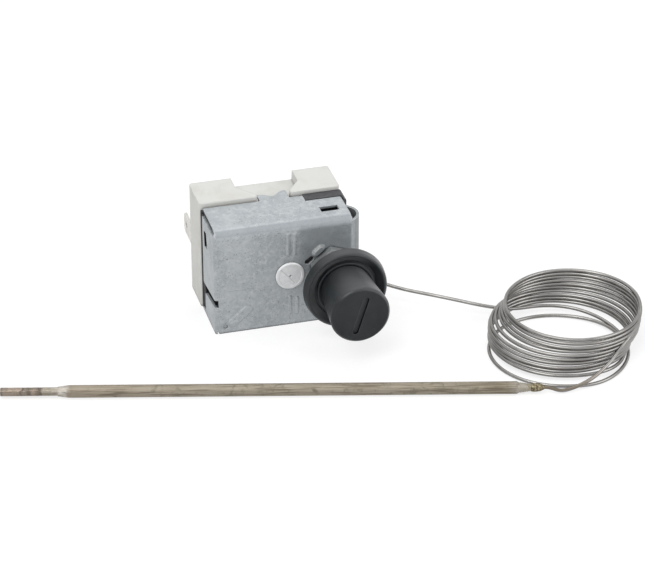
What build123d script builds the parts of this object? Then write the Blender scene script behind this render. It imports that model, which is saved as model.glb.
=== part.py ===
from build123d import *
import math
import os

# Capillary thermostat with a manual reset, in millimetres at real size.
# Frame: +X to the right seen from the front, +Y to the back, +Z up.
# The origin is the middle of the ceramic base's underside, on the surface it stands on.

# Housing: folded sheet-steel cover on a ceramic base
BODY_WIDTH = 43.0
COVER_HEIGHT = 34.6
COVER_DEPTH = 16.2
SHEET = 0.8
TOP_BEND_RADIUS = 2.8
SIDE_BEND_RADIUS = 1.0
BASE_OVERHANG = 0.4
BASE_WIDTH = BODY_WIDTH + 2 * BASE_OVERHANG
BASE_DEPTH = 13.5
BASE_RISE = 1.15
BASE_HEIGHT = COVER_HEIGHT + BASE_RISE
SEAM_GAP = 0.9

# Inner plates
INSULATION = 0.6
PLATE = 1.0
WEB_DEPTH = 1.65
PLATE_INSET = 0.35

# Axes that cross the housing from front to back
RESET_FROM_SIDE = 5.9
RESET_X = BODY_WIDTH / 2 - RESET_FROM_SIDE
RESET_Z = COVER_HEIGHT / 2
PIN_SPACING = 13.9
PIN_DROP = 0.2
CALIBRATION_X = RESET_X - PIN_SPACING
CALIBRATION_Z = RESET_Z - PIN_DROP

# Front bush, nuts and cap, as distances in front of the cover
BUSH_RADIUS = 5.0
BUSH_LENGTH = 20.5
BUSH_BORE_RADIUS = 3.35
NUT_ACROSS_FLATS = 14.0
NUT_THICKNESS = 2.5
BEZEL_BACK = 10.3
BEZEL_RADIUS = 12.8
BEZEL_THICKNESS = 3.55
BEZEL_NECK = 4.2
CAP_FRONT = 28.6
CAP_BASE_RADIUS = 7.7
CAP_FRONT_RADIUS = 9.05
CAP_SLOT_WIDTH = 1.8
CAP_SLOT_LENGTH = 12.6
CAP_SLOT_DEPTH = 1.0
CAP_SLOT_TILT = 17.4

# Reset button and its rod
RESET_TRAVEL = 2.0
BUTTON_RADIUS = 3.2
BUTTON_LENGTH = 8.5
ROD_RADIUS = 1.5

# Fits
RUNNING_FIT = 0.05
SEAT_GAP = 0.03
CONTACT_GAP = 0.15

# Switch inside the base
WALL_LEFT = 4.9
WALL_RIGHT = 3.5
CAVITY_LEFT = WALL_LEFT - BODY_WIDTH / 2
CAVITY_RIGHT = BODY_WIDTH / 2 - WALL_RIGHT
CAVITY_BELOW = 8.6
CAVITY_ABOVE = 9.4
CAVITY_BOTTOM = CALIBRATION_Z - CAVITY_BELOW
CAVITY_TOP = CALIBRATION_Z + CAVITY_ABOVE
CAVITY_DEPTH = 9.0
ROCKER_WIDTH = 6.0
ROCKER_SHEET = 0.5
ROCKER_DEPTH = 4.15
RIVET_FROM_SIDE = 7.9
RIVET_X = BODY_WIDTH / 2 - RIVET_FROM_SIDE
PIVOT_FROM_RIVET = 3.3
PIVOT_X = RIVET_X - PIVOT_FROM_RIVET
PIVOT_RADIUS = 0.7
CONTACT_FROM_RIVET = 3.6
CONTACT_X = CONTACT_FROM_RIVET - RIVET_X
CONTACT_RADIUS = 1.6
CONTACT_HEIGHT = 0.6
STRIP = 0.8
PIN_RADIUS = 1.5

# Pressure capsule
CAPSULE_RADIUS = 9.5
CAPSULE_HEIGHT = 2.8
CAPSULE_RIM = 0.8

# Terminals: 6.3 mm blades with a lug riveted to the back of the base
BLADE_WIDTH = 6.3
BLADE_SHEET = 0.8
BLADE_REACH = 11.3
BLADE_HOLE_RADIUS = 0.9
LUG_RECESS = 1.0
LUG_LENGTH = 9.6
TERMINAL_DROP = 0.2
TERMINAL_Z = CALIBRATION_Z - TERMINAL_DROP
RIVET_RADIUS = 1.4
RIVET_HEAD_RADIUS = 2.4
RIVET_HEAD = 0.6

# Screws that clamp base, insulation and plate to the chassis
SCREW_RADIUS = 1.5
SCREW_HEAD_RADIUS = 2.8
SCREW_HEAD = 1.8
SCREW_FROM_SIDE = 5.0
SCREW_FROM_TOP = 4.0
SCREW_FROM_BOTTOM = 4.3
SCREW_PLACES = (
    (SCREW_FROM_SIDE - BODY_WIDTH / 2, COVER_HEIGHT - SCREW_FROM_TOP),
    (BODY_WIDTH / 2 - SCREW_FROM_SIDE, SCREW_FROM_BOTTOM),
)

# Capillary, coil and bulb
CAPILLARY_RADIUS = 0.55
EXIT_FROM_FRONT = 6.85
EXIT_Z = 7.0
FERRULE_RADIUS = 1.5
FERRULE_LENGTH = 4.8
COIL_CENTRE = (74.2, -60.3)
COIL_TURN = -15.46
LOOP_RADIUS = 20.65
STACK_BASE = (1.2, 4.3)
STACK_TOP = (4.8, 10.2)
STACK_HEIGHT = 11.0
STACK_WALL = 2.4
BULB_RADIUS = 1.85
BULB_LENGTH = 129.6
BULB_NECK = 4.0
BULB_NECK_RADIUS = 1.15
BULB_TAPER = 3.4
STUB_RADIUS = 1.25
STUB_LENGTH = 16.6
COLLAR_RADIUS = 1.35
COLLAR_LENGTH = 4.0
BULB_END = (55.23, -78.53)
BULB_TURN = -14.53

# Planes that follow from the sizes above
base_front = -BASE_DEPTH / 2
base_back = BASE_DEPTH / 2
cover_back = base_front - SEAM_GAP
cover_front = cover_back - COVER_DEPTH
EXIT_Y = cover_front + EXIT_FROM_FRONT
insulation_front = base_front - INSULATION
plate_front = insulation_front - PLATE
web_front = cover_front + WEB_DEPTH
web_back = web_front + PLATE
half_width = BODY_WIDTH / 2
cavity_back = base_front + CAVITY_DEPTH
rocker_front = base_front + ROCKER_DEPTH
rocker_back = rocker_front + ROCKER_SHEET

front_plane = Plane(origin=(0, cover_front, 0), x_dir=(1, 0, 0), z_dir=(0, -1, 0))
side_section = Plane.YZ
reset_section = Plane(
    origin=(RESET_X, cover_front, RESET_Z), x_dir=(1, 0, 0), z_dir=(0, 0, -1)
)
reset_axis = Axis((RESET_X, cover_front, RESET_Z), (0, -1, 0))
calibration_section = Plane(
    origin=(CALIBRATION_X, cover_front, CALIBRATION_Z), x_dir=(1, 0, 0), z_dir=(0, 0, -1)
)
calibration_axis = Axis((CALIBRATION_X, cover_front, CALIBRATION_Z), (0, -1, 0))


def facing(y):
    """Plane across the housing at depth y; its x runs right, its y up, it looks forward."""
    return Plane(origin=(0, y, 0), x_dir=(1, 0, 0), z_dir=(0, -1, 0))


def turned(points, section, axis):
    """Solid of revolution of a closed outline of (radius, distance forward) points."""
    with BuildPart() as piece:
        with BuildSketch(section):
            with BuildLine():
                Polyline(*points, close=True)
            make_face()
        revolve(axis=axis)
    return piece.part


def save(part, name):
    """Label a finished piece and write it to its own STEP file."""
    part.label = name
    export_step(part, f"parts/{name}.step")


os.makedirs("parts", exist_ok=True)

# Cover: one folded sheet with a wide bend at the top and open seams at its corners
LEFT_FLAP_BACK = cover_back - 1.3
LEFT_EAR_BACK = cover_back - 3.4
FLAP_TOP = COVER_HEIGHT - 2 * SHEET - 0.1
SEAM_START = cover_front + 1.3
SLOT_FRONT = (9.35, 11.7)
SLOT_BACK = (6.55, 10.0)
EAR_TOP = 8.2
NOTCH_DEPTH = 1.2
TAB_X = 10.0
TAB_REACH = 3.5
PLUG_HOLE_RADIUS = 4.0
WINDOW_X = half_width - 5.8
WINDOW_Y = cover_front + 6.4
WINDOW_SIZE = (5.6, 3.0)
SIDE_WINDOW = ((-1.95, 5.6), (-4.75, 5.2), (-6.05, 10.1), (-2.55, 10.7))
BEAD_WIDTH = 1.3
BEAD_HEIGHT = 0.3
BEAD_TAPER = 55
UPPER_BEADS = ((-0.4, 6.9, 8.0), (1.6, 6.9, 8.0))
LOWER_BEADS = ((0, 6.6, 7.0), (2.2, 6.4, 6.4))
SLANTING_BEAD = (7.8, 5.4, 9.4, 3.2)
CREASE = (7.75, 14.7, 10.0, 0.8)
SLANT = 40
BULGE_REACH = 2.95
BULGE_END = cover_front + 10.2
STOP_LUG = (5.0, 7.1, 4.6, 2.6)
STOP_HOLE = (7.9, 4.0, 3.2, 1.8)
STOP_HEIGHT = 0.9
STOP_TAPER = 38
DIMPLE = (3.1, 2.3)
DIMPLE_RADIUS = 0.7
DIMPLE_DEPTH = 0.25

with BuildPart() as cover:
    with BuildSketch(side_section) as wrap:
        with Locations(((cover_front + cover_back) / 2, COVER_HEIGHT / 2)):
            Rectangle(COVER_DEPTH, COVER_HEIGHT)
        front_corners = wrap.vertices().sort_by(Axis.X)[:2].sort_by(Axis.Y)
        fillet(front_corners[1], TOP_BEND_RADIUS)
    extrude(amount=half_width, both=True)
    fillet(cover.edges().filter_by(Axis.Z).group_by(Axis.Y)[0], SIDE_BEND_RADIUS)
    with BuildSketch(side_section) as hollow:
        with Locations(((cover_front + cover_back) / 2 + SHEET, COVER_HEIGHT / 2)):
            Rectangle(COVER_DEPTH, COVER_HEIGHT - 2 * SHEET)
        inner_corners = hollow.vertices().sort_by(Axis.X)[:2].sort_by(Axis.Y)
        fillet(inner_corners[1], TOP_BEND_RADIUS - SHEET)
    extrude(amount=half_width - SHEET, both=True, mode=Mode.SUBTRACT)
    # Tongue with a wavy sheared end that reaches back over the ceramic
    with BuildSketch(Plane.XY.offset(COVER_HEIGHT - SHEET)):
        with BuildLine():
            left_side = Line((-3.3, cover_back - 1), (-3.3, cover_back + 3.8))
            end = Spline(
                left_side @ 1,
                (-1.4, cover_back + 3.6),
                (1.4, cover_back + 2.2),
                (3.4, cover_back + 3.9),
                (5.9, cover_back + 4.7),
            )
            right_side = Line(end @ 1, (5.9, cover_back - 1))
            Line(right_side @ 1, left_side @ 0)
        make_face()
    extrude(amount=SHEET)
    # Room for the folded tab of the insulation, and the right wall, which is folded separately
    with BuildSketch(Plane.XY.offset(COVER_HEIGHT - 2 * SHEET)):
        with Locations(((TAB_X + half_width + 1) / 2, cover_back - TAB_REACH / 2)):
            Rectangle(half_width + 1 - TAB_X, TAB_REACH)
    extrude(amount=3 * SHEET, mode=Mode.SUBTRACT)
    with BuildSketch(facing(cover_back + 1)):
        with Locations((half_width, COVER_HEIGHT / 2)):
            Rectangle(2 * SHEET, COVER_HEIGHT - 2 * SHEET)
        with Locations((half_width, COVER_HEIGHT)):
            Rectangle(SHEET, 2 * SHEET)
    extrude(amount=cover_back + 1 - SEAM_START, mode=Mode.SUBTRACT)
    # Open seam between the top flap and the left flap
    with BuildSketch(facing(cover_back + 1)):
        with Locations((-half_width, (FLAP_TOP + COVER_HEIGHT) / 2)):
            Rectangle(1.1, COVER_HEIGHT - FLAP_TOP + 0.2)
        with Locations((-half_width, (FLAP_TOP + COVER_HEIGHT - SHEET) / 2)):
            Rectangle(2.2 * SHEET, COVER_HEIGHT - SHEET - FLAP_TOP)
    extrude(amount=cover_back + 1 - SEAM_START, mode=Mode.SUBTRACT)
    # Slot that falls to the back across the left flap, its shorter lower ear and its window
    with BuildSketch(Plane.YZ.offset(-half_width - 1)):
        with BuildLine():
            Polyline(
                (cover_front - 1, SLOT_FRONT[0]),
                (cover_front - 1, SLOT_FRONT[1]),
                (cover_back + 1, SLOT_BACK[1]),
                (cover_back + 1, SLOT_BACK[0]),
                close=True,
            )
        make_face()
        with Locations(((LEFT_FLAP_BACK + cover_back) / 2 + 0.5, COVER_HEIGHT / 2)):
            Rectangle(cover_back - LEFT_FLAP_BACK + 1, COVER_HEIGHT - 2 * SHEET)
        with Locations(((LEFT_EAR_BACK + cover_back) / 2 + 0.5, EAR_TOP / 2 + SHEET)):
            Rectangle(cover_back - LEFT_EAR_BACK + 1, EAR_TOP)
        with BuildLine():
            Polyline(*[(LEFT_FLAP_BACK + y, COVER_HEIGHT - z) for y, z in SIDE_WINDOW], close=True)
        make_face()
    extrude(amount=1 + NOTCH_DEPTH, mode=Mode.SUBTRACT)
    # Corner relief at the bottom left
    with BuildSketch(Plane.XY.offset(-0.5)):
        with Locations((-half_width + 0.9, (cover_front + cover_back) / 2)):
            Rectangle(0.6, COVER_DEPTH + 2)
    extrude(amount=0.5 + SHEET, mode=Mode.SUBTRACT)
    # Right flap, bowed outwards
    with BuildSketch(Plane.XY.offset(SHEET + 0.4)):
        with BuildLine():
            bow = ThreePointArc(
                (half_width - SIDE_BEND_RADIUS / 2, cover_front + 0.2),
                (half_width + BULGE_REACH, (cover_front + BULGE_END) / 2),
                (half_width, BULGE_END),
            )
            straight = Line(bow @ 1, (half_width, cover_back))
            offset(amount=SHEET, side=Side.LEFT)
        make_face()
    extrude(amount=FLAP_TOP - SHEET - 0.4)
    # Holes for the window, the bush and the calibration plug
    with BuildSketch(Plane.XY.offset(COVER_HEIGHT + 1)):
        with Locations((WINDOW_X, WINDOW_Y)):
            Rectangle(*WINDOW_SIZE)
    extrude(amount=-2 * SHEET - 1, mode=Mode.SUBTRACT)
    with BuildSketch(front_plane):
        with Locations((RESET_X, RESET_Z)):
            Circle(BUSH_RADIUS + SEAT_GAP)
        with Locations((CALIBRATION_X, CALIBRATION_Z)):
            Circle(PLUG_HOLE_RADIUS)
    extrude(amount=-2 * SHEET, mode=Mode.SUBTRACT)
    # Notch in the right flap where the capillary leaves
    with BuildSketch(Plane.YZ.offset(half_width - 3)):
        with Locations((EXIT_Y, EXIT_Z)):
            Circle(FERRULE_RADIUS + SEAT_GAP)
    extrude(amount=8, mode=Mode.SUBTRACT)
    # Stamped beads that stiffen the front: two pairs of ribs and a wide slanting one
    with BuildSketch(front_plane):
        for right, down, length in UPPER_BEADS:
            with Locations((CALIBRATION_X + right, COVER_HEIGHT - down)):
                SlotOverall(length, BEAD_WIDTH, rotation=90)
        for right, up, length in LOWER_BEADS:
            with Locations((CALIBRATION_X + right, up)):
                SlotOverall(length, BEAD_WIDTH, rotation=90)
        with Locations((SLANTING_BEAD[0] - half_width, SLANTING_BEAD[1])):
            SlotOverall(SLANTING_BEAD[2], SLANTING_BEAD[3], rotation=SLANT)
    extrude(amount=BEAD_HEIGHT, taper=BEAD_TAPER)
    # Faint crease from the press across the left half
    with BuildSketch(front_plane):
        with Locations((CREASE[0] - half_width, CREASE[1])):
            SlotOverall(CREASE[2], CREASE[3])
    extrude(amount=BEAD_HEIGHT / 2, taper=BEAD_TAPER)
    # Raised lug that stops the nut from turning, with a pierced hole beside it, and a dimple
    with BuildSketch(front_plane):
        with Locations((RESET_X - STOP_LUG[0], RESET_Z + STOP_LUG[1])):
            SlotOverall(STOP_LUG[2], STOP_LUG[3], rotation=SLANT)
    extrude(amount=STOP_HEIGHT, taper=STOP_TAPER)
    with BuildSketch(front_plane):
        with Locations((RESET_X - STOP_HOLE[0], RESET_Z + STOP_HOLE[1])):
            SlotOverall(STOP_HOLE[2], STOP_HOLE[3], rotation=SLANT)
    extrude(amount=-2 * SHEET, mode=Mode.SUBTRACT)
    with BuildSketch(front_plane):
        with Locations((DIMPLE[0] - half_width, DIMPLE[1])):
            Circle(DIMPLE_RADIUS)
    extrude(amount=-DIMPLE_DEPTH, mode=Mode.SUBTRACT)
save(cover.part, "cover")

# Ceramic base: pressed steatite block with a funnel-shaped valley on top
VALLEY_DEPTH = 3.05
VALLEY_THROAT = (-4.1, 6.6)
VALLEY_MOUTH = (-8.8, 10.5)
VALLEY_DRAFT = 3
EDGE_ROUND = 0.9
POCKET_FROM_SIDE = 14.5
POCKET_HEIGHT = 16.0
with BuildPart() as ceramic_base:
    with Locations((0, 0, BASE_HEIGHT / 2)):
        Box(BASE_WIDTH, BASE_DEPTH, BASE_HEIGHT)
    fillet(ceramic_base.edges().filter_by(Axis.Z), EDGE_ROUND)
    with BuildSketch(Plane.XY.offset(BASE_HEIGHT)):
        with BuildLine():
            Polyline(
                (VALLEY_MOUTH[0], base_back + 2),
                (VALLEY_MOUTH[0], base_front + 7.35),
                (VALLEY_THROAT[0], base_front + 1.7),
                (VALLEY_THROAT[0], base_front - 2),
                (VALLEY_THROAT[1], base_front - 2),
                (VALLEY_THROAT[1], base_front + 1.5),
                (VALLEY_MOUTH[1], base_front + 6.75),
                (VALLEY_MOUTH[1], base_back + 2),
                close=True,
            )
        make_face()
    extrude(amount=-VALLEY_DEPTH, taper=VALLEY_DRAFT, mode=Mode.SUBTRACT)
    # Switch chamber, open towards the cover
    with BuildSketch(facing(base_front)):
        with Locations(((CAVITY_LEFT + CAVITY_RIGHT) / 2, (CAVITY_BOTTOM + CAVITY_TOP) / 2)):
            RectangleRounded(CAVITY_RIGHT - CAVITY_LEFT, CAVITY_TOP - CAVITY_BOTTOM, 1.5)
    extrude(amount=-CAVITY_DEPTH, mode=Mode.SUBTRACT)
    # Recesses for the terminal lugs, open at the sides, and a lower pocket between them
    with BuildSketch(facing(base_back)):
        for side in (-1, 1):
            with Locations((side * (half_width - LUG_LENGTH / 2 + 0.3), TERMINAL_Z)):
                Rectangle(LUG_LENGTH + 2.8, BLADE_WIDTH + 1.2)
    extrude(amount=LUG_RECESS, mode=Mode.SUBTRACT)
    with BuildSketch(facing(base_back)):
        with Locations((0, TERMINAL_Z)):
            RectangleRounded(2 * (half_width - POCKET_FROM_SIDE), POCKET_HEIGHT, 2)
    extrude(amount=LUG_RECESS, taper=12, mode=Mode.SUBTRACT)
    # Rivet holes and screw holes
    with BuildSketch(facing(base_back)):
        with Locations((-RIVET_X, TERMINAL_Z), (RIVET_X, TERMINAL_Z)):
            Circle(RIVET_RADIUS + SEAT_GAP)
        with Locations(*SCREW_PLACES):
            Circle(SCREW_RADIUS + 0.2)
    extrude(amount=BASE_DEPTH, mode=Mode.SUBTRACT)
    with BuildSketch(facing(base_back)):
        with Locations(*SCREW_PLACES):
            Circle(SCREW_HEAD_RADIUS + 0.4)
    extrude(amount=SCREW_HEAD, mode=Mode.SUBTRACT)
save(ceramic_base.part, "ceramic_base")

# Insulating sheet between base and cover, folded over at the top right and at the left
FOLD = 0.8
LIP_HEIGHT = 8.0
LIP_REACH = 6.2
SIDE_FOLD_INSET = 0.45
SIDE_FOLD_CLEARANCE = 1.5
with BuildPart() as insulating_sheet:
    with BuildSketch(facing(base_front)):
        with Locations((0, (COVER_HEIGHT - SHEET) / 2)):
            Rectangle(BODY_WIDTH, COVER_HEIGHT - SHEET - 0.4)
        with Locations(((TAB_X + half_width) / 2 + 0.1, COVER_HEIGHT - FOLD)):
            Rectangle(half_width - TAB_X - 0.2, 2 * FOLD)
    extrude(amount=INSULATION)
    with BuildSketch(facing(insulation_front)):
        with Locations(((TAB_X + half_width) / 2 + 0.1, COVER_HEIGHT - FOLD / 2)):
            Rectangle(half_width - TAB_X - 0.2, FOLD)
    extrude(amount=TAB_REACH - SEAM_GAP + INSULATION - 0.1)
    with BuildSketch(facing(base_front)):
        with Locations((half_width + FOLD / 2 + SEAT_GAP / 2, COVER_HEIGHT - LIP_HEIGHT / 2)):
            Rectangle(FOLD + SEAT_GAP, LIP_HEIGHT)
    extrude(amount=LIP_REACH)
    with BuildSketch(facing(insulation_front)):
        with Locations((SIDE_FOLD_INSET + INSULATION / 2 - half_width, COVER_HEIGHT / 2 - 0.6)):
            Rectangle(INSULATION, COVER_HEIGHT - 2 * SIDE_FOLD_CLEARANCE)
    extrude(amount=insulation_front - LEFT_FLAP_BACK - 0.1)
    fillet(insulating_sheet.edges().filter_by(Axis.Y).group_by(Axis.X)[-1].sort_by(Axis.Z)[-1], 0.7)
    with BuildSketch(facing(base_front + 1)):
        with Locations((CALIBRATION_X, CALIBRATION_Z), (RESET_X, RESET_Z)):
            Circle(PIN_RADIUS + 0.5)
        with Locations(*SCREW_PLACES):
            Circle(SCREW_RADIUS + 0.2)
    extrude(amount=INSULATION + 2, mode=Mode.SUBTRACT)
save(insulating_sheet.part, "insulating_sheet")

# Guide plate: closes the switch chamber and guides the pin and the reset rod in drawn collars
COLLAR_WALL = 1.1
COLLAR_DRAW = 2.0
plate_width = BODY_WIDTH - 2 * (SHEET + PLATE_INSET)
plate_bottom = SHEET + PLATE_INSET
plate_top = COVER_HEIGHT - SHEET - PLATE_INSET
with BuildPart() as guide_plate:
    with BuildSketch(facing(insulation_front)):
        with Locations((0, (plate_bottom + plate_top) / 2)):
            RectangleRounded(plate_width, plate_top - plate_bottom, 1.5)
    extrude(amount=PLATE)
    with BuildSketch(facing(plate_front)):
        with Locations((CALIBRATION_X, CALIBRATION_Z)):
            Circle(PIN_RADIUS + COLLAR_WALL)
        with Locations((RESET_X, RESET_Z)):
            Circle(ROD_RADIUS + COLLAR_WALL)
    extrude(amount=COLLAR_DRAW)
    with BuildSketch(facing(base_front)):
        with Locations((CALIBRATION_X, CALIBRATION_Z)):
            Circle(PIN_RADIUS + RUNNING_FIT)
        with Locations((RESET_X, RESET_Z)):
            Circle(ROD_RADIUS + RUNNING_FIT)
        with Locations(*SCREW_PLACES):
            Circle(SCREW_RADIUS + 0.2)
    extrude(amount=PLATE + COLLAR_DRAW + 2, mode=Mode.SUBTRACT)
save(guide_plate.part, "guide_plate")

# Chassis: U-shaped bracket that carries bush and capsule, with one foot above and one below
FOOT_HEIGHT = 5.85
WEB_FROM_LEFT = 1.9
WEB_FROM_RIGHT = 1.5
UPPER_ARM_WIDTH = 23.6
LOWER_ARM_WIDTH = 25.0
web_left = WEB_FROM_LEFT - half_width
web_right = half_width - WEB_FROM_RIGHT
UPPER_ARM = (web_left, web_left + UPPER_ARM_WIDTH)
LOWER_ARM = (web_right - LOWER_ARM_WIDTH, web_right)
with BuildPart() as chassis:
    with BuildSketch(facing(web_back)):
        with Locations(((web_left + web_right) / 2, (plate_bottom + plate_top) / 2)):
            RectangleRounded(web_right - web_left, plate_top - plate_bottom, 1.0)
    extrude(amount=PLATE)
    with BuildSketch(facing(plate_front)):
        for arm, level in ((UPPER_ARM, plate_top - PLATE / 2), (LOWER_ARM, plate_bottom + PLATE / 2)):
            with Locations(((arm[0] + arm[1]) / 2, level)):
                Rectangle(arm[1] - arm[0], PLATE)
    extrude(amount=plate_front - web_front - TOP_BEND_RADIUS + SHEET)
    with BuildSketch(facing(plate_front)):
        with Locations(((UPPER_ARM[0] + UPPER_ARM[1]) / 2, plate_top - FOOT_HEIGHT / 2)):
            Rectangle(UPPER_ARM[1] - UPPER_ARM[0], FOOT_HEIGHT)
        with Locations(((LOWER_ARM[0] + LOWER_ARM[1]) / 2, plate_bottom + FOOT_HEIGHT / 2)):
            Rectangle(LOWER_ARM[1] - LOWER_ARM[0], FOOT_HEIGHT)
    extrude(amount=PLATE)
    # Slanted corner that joins web and upper arm behind the wide bend of the cover
    with BuildSketch(Plane.YZ.offset(UPPER_ARM[0])):
        with BuildLine():
            Polyline(
                (web_front, plate_top - TOP_BEND_RADIUS),
                (web_front + TOP_BEND_RADIUS, plate_top),
                (web_front + TOP_BEND_RADIUS, plate_top - PLATE),
                (web_back, plate_top - TOP_BEND_RADIUS - 0.4),
                close=True,
            )
        make_face()
    extrude(amount=UPPER_ARM[1] - UPPER_ARM[0])
    with BuildSketch(Plane.YZ.offset(LOWER_ARM[0])):
        with Locations((web_front + TOP_BEND_RADIUS / 2, plate_bottom + PLATE / 2)):
            Rectangle(TOP_BEND_RADIUS, PLATE)
    extrude(amount=LOWER_ARM[1] - LOWER_ARM[0])
    with BuildSketch(Plane.YZ.offset(-half_width)):
        with BuildLine():
            Polyline(
                (web_front - 1, plate_top + 1),
                (web_front - 1, plate_top - TOP_BEND_RADIUS),
                (web_front, plate_top - TOP_BEND_RADIUS),
                (web_front + TOP_BEND_RADIUS, plate_top),
                (web_front + TOP_BEND_RADIUS, plate_top + 1),
                close=True,
            )
        make_face()
    extrude(amount=BODY_WIDTH, mode=Mode.SUBTRACT)
    with BuildSketch(facing(web_back + 0.75)):
        with Locations((CALIBRATION_X, CALIBRATION_Z)):
            Circle(3.3)
    extrude(amount=1.25)
    with BuildSketch(facing(plate_front + 1)):
        with Locations((RESET_X, RESET_Z)):
            Circle(BUSH_RADIUS + 0.1)
        with Locations((CALIBRATION_X, CALIBRATION_Z)):
            Circle(2.0 + SEAT_GAP)
        with Locations(*SCREW_PLACES):
            Circle(SCREW_RADIUS + SEAT_GAP)
    extrude(amount=plate_front + 1 - web_front + 1, mode=Mode.SUBTRACT)
save(chassis.part, "chassis")

# Threaded bush, riveted into the chassis, with a flat on its inner flange
FLANGE_RADIUS = 7.0
RIM_RADIUS = 5.9
BORE_STEP = 4.0
FLAT_X = half_width - SHEET - PLATE_INSET
web_start = WEB_DEPTH - SEAT_GAP
web_end = WEB_DEPTH + PLATE + SEAT_GAP
bush_inner_end = web_end + 0.6
bush_outline = (
    (ROD_RADIUS + RUNNING_FIT, -bush_inner_end),
    (RIM_RADIUS, -bush_inner_end),
    (RIM_RADIUS, -web_end),
    (BUSH_RADIUS, -web_end),
    (BUSH_RADIUS, -web_start),
    (FLANGE_RADIUS, -web_start),
    (FLANGE_RADIUS, -SHEET - SEAT_GAP),
    (BUSH_RADIUS, -SHEET - SEAT_GAP),
    (BUSH_RADIUS, BUSH_LENGTH - 0.5),
    (BUSH_RADIUS - 0.5, BUSH_LENGTH),
    (BUSH_BORE_RADIUS, BUSH_LENGTH),
    (BUSH_BORE_RADIUS, BORE_STEP),
    (ROD_RADIUS + RUNNING_FIT, BORE_STEP),
)
with BuildPart() as bush:
    add(turned(bush_outline, reset_section, reset_axis))
    with Locations((FLAT_X + 2, cover_front + 3, RESET_Z)):
        Box(4, 6 - 2 * SEAT_GAP, 2 * FLANGE_RADIUS, mode=Mode.SUBTRACT)
save(bush.part, "bush")

# Thin hexagonal nut that holds the cover against the bush
with BuildPart() as panel_nut:
    with BuildSketch(front_plane):
        with Locations((RESET_X, RESET_Z)):
            RegularPolygon(NUT_ACROSS_FLATS / 2, 6, major_radius=False, rotation=40)
            Circle(BUSH_RADIUS + SEAT_GAP, mode=Mode.SUBTRACT)
    extrude(amount=NUT_THICKNESS)
    chamfer(panel_nut.edges().filter_by(GeomType.LINE).group_by(Axis.Y)[0], 0.4)
save(panel_nut.part, "panel_nut")

# Bezel nut: dished moulded flange with a groove and a collar round the cap
bezel_front = BEZEL_BACK + BEZEL_THICKNESS
recess_floor = BEZEL_BACK + 1.5
neck_end = recess_floor + BEZEL_NECK
NECK_RADIUS = 6.3
COLLAR_OUTER = 8.75
COLLAR_INNER = 8.25
GROOVE_OUTER = 9.6
bezel_outline = (
    (BUSH_RADIUS + RUNNING_FIT, BEZEL_BACK),
    (BEZEL_RADIUS - 0.6, BEZEL_BACK),
    (BEZEL_RADIUS - 0.15, BEZEL_BACK + 0.2),
    (BEZEL_RADIUS, BEZEL_BACK + 0.7),
    (BEZEL_RADIUS - 0.25, bezel_front - 0.8),
    (BEZEL_RADIUS - 0.5, bezel_front - 0.25),
    (BEZEL_RADIUS - 0.9, bezel_front),
    (BEZEL_RADIUS - 1.3, bezel_front - 0.1),
    (GROOVE_OUTER, bezel_front - 1.6),
    (GROOVE_OUTER, recess_floor - 0.5),
    (COLLAR_OUTER, recess_floor - 0.5),
    (COLLAR_OUTER, bezel_front - 1.2),
    (COLLAR_INNER, bezel_front - 1.2),
    (COLLAR_INNER, recess_floor),
    (NECK_RADIUS, recess_floor),
    (NECK_RADIUS, neck_end),
    (BUSH_RADIUS + RUNNING_FIT, neck_end),
)
save(turned(bezel_outline, reset_section, reset_axis), "bezel_nut")

# Screw cap: flared cup with a coin slot, threaded on the end of the bush over the button
CAP_BACK = recess_floor + 0.3
CAP_THREAD = neck_end + 0.4
CAP_ROOM = BUSH_LENGTH + 0.5
CAP_ROOM_RADIUS = 4.2
button_front = BUSH_LENGTH + 2.5
cap_ceiling = button_front + 1.0
cap_outline = (
    (NECK_RADIUS + 0.3, CAP_BACK),
    (CAP_BASE_RADIUS - 0.15, CAP_BACK),
    (CAP_BASE_RADIUS, CAP_BACK + 0.2),
    (CAP_FRONT_RADIUS, CAP_FRONT - 1.1),
    (CAP_FRONT_RADIUS - 0.12, CAP_FRONT - 0.6),
    (CAP_FRONT_RADIUS - 0.5, CAP_FRONT - 0.15),
    (CAP_FRONT_RADIUS - 0.75, CAP_FRONT),
    (0, CAP_FRONT),
    (0, cap_ceiling),
    (CAP_ROOM_RADIUS, cap_ceiling),
    (CAP_ROOM_RADIUS, CAP_ROOM),
    (BUSH_RADIUS + RUNNING_FIT, CAP_ROOM),
    (BUSH_RADIUS + RUNNING_FIT, CAP_THREAD),
    (NECK_RADIUS + 0.3, CAP_THREAD),
)
with BuildPart() as reset_cap:
    add(turned(cap_outline, reset_section, reset_axis))
    with BuildSketch(facing(cover_front - CAP_FRONT)):
        with Locations((RESET_X, RESET_Z)):
            SlotOverall(CAP_SLOT_LENGTH, CAP_SLOT_WIDTH, rotation=90 - CAP_SLOT_TILT)
    extrude(amount=-CAP_SLOT_DEPTH, mode=Mode.SUBTRACT)
save(reset_cap.part, "reset_cap")

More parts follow.
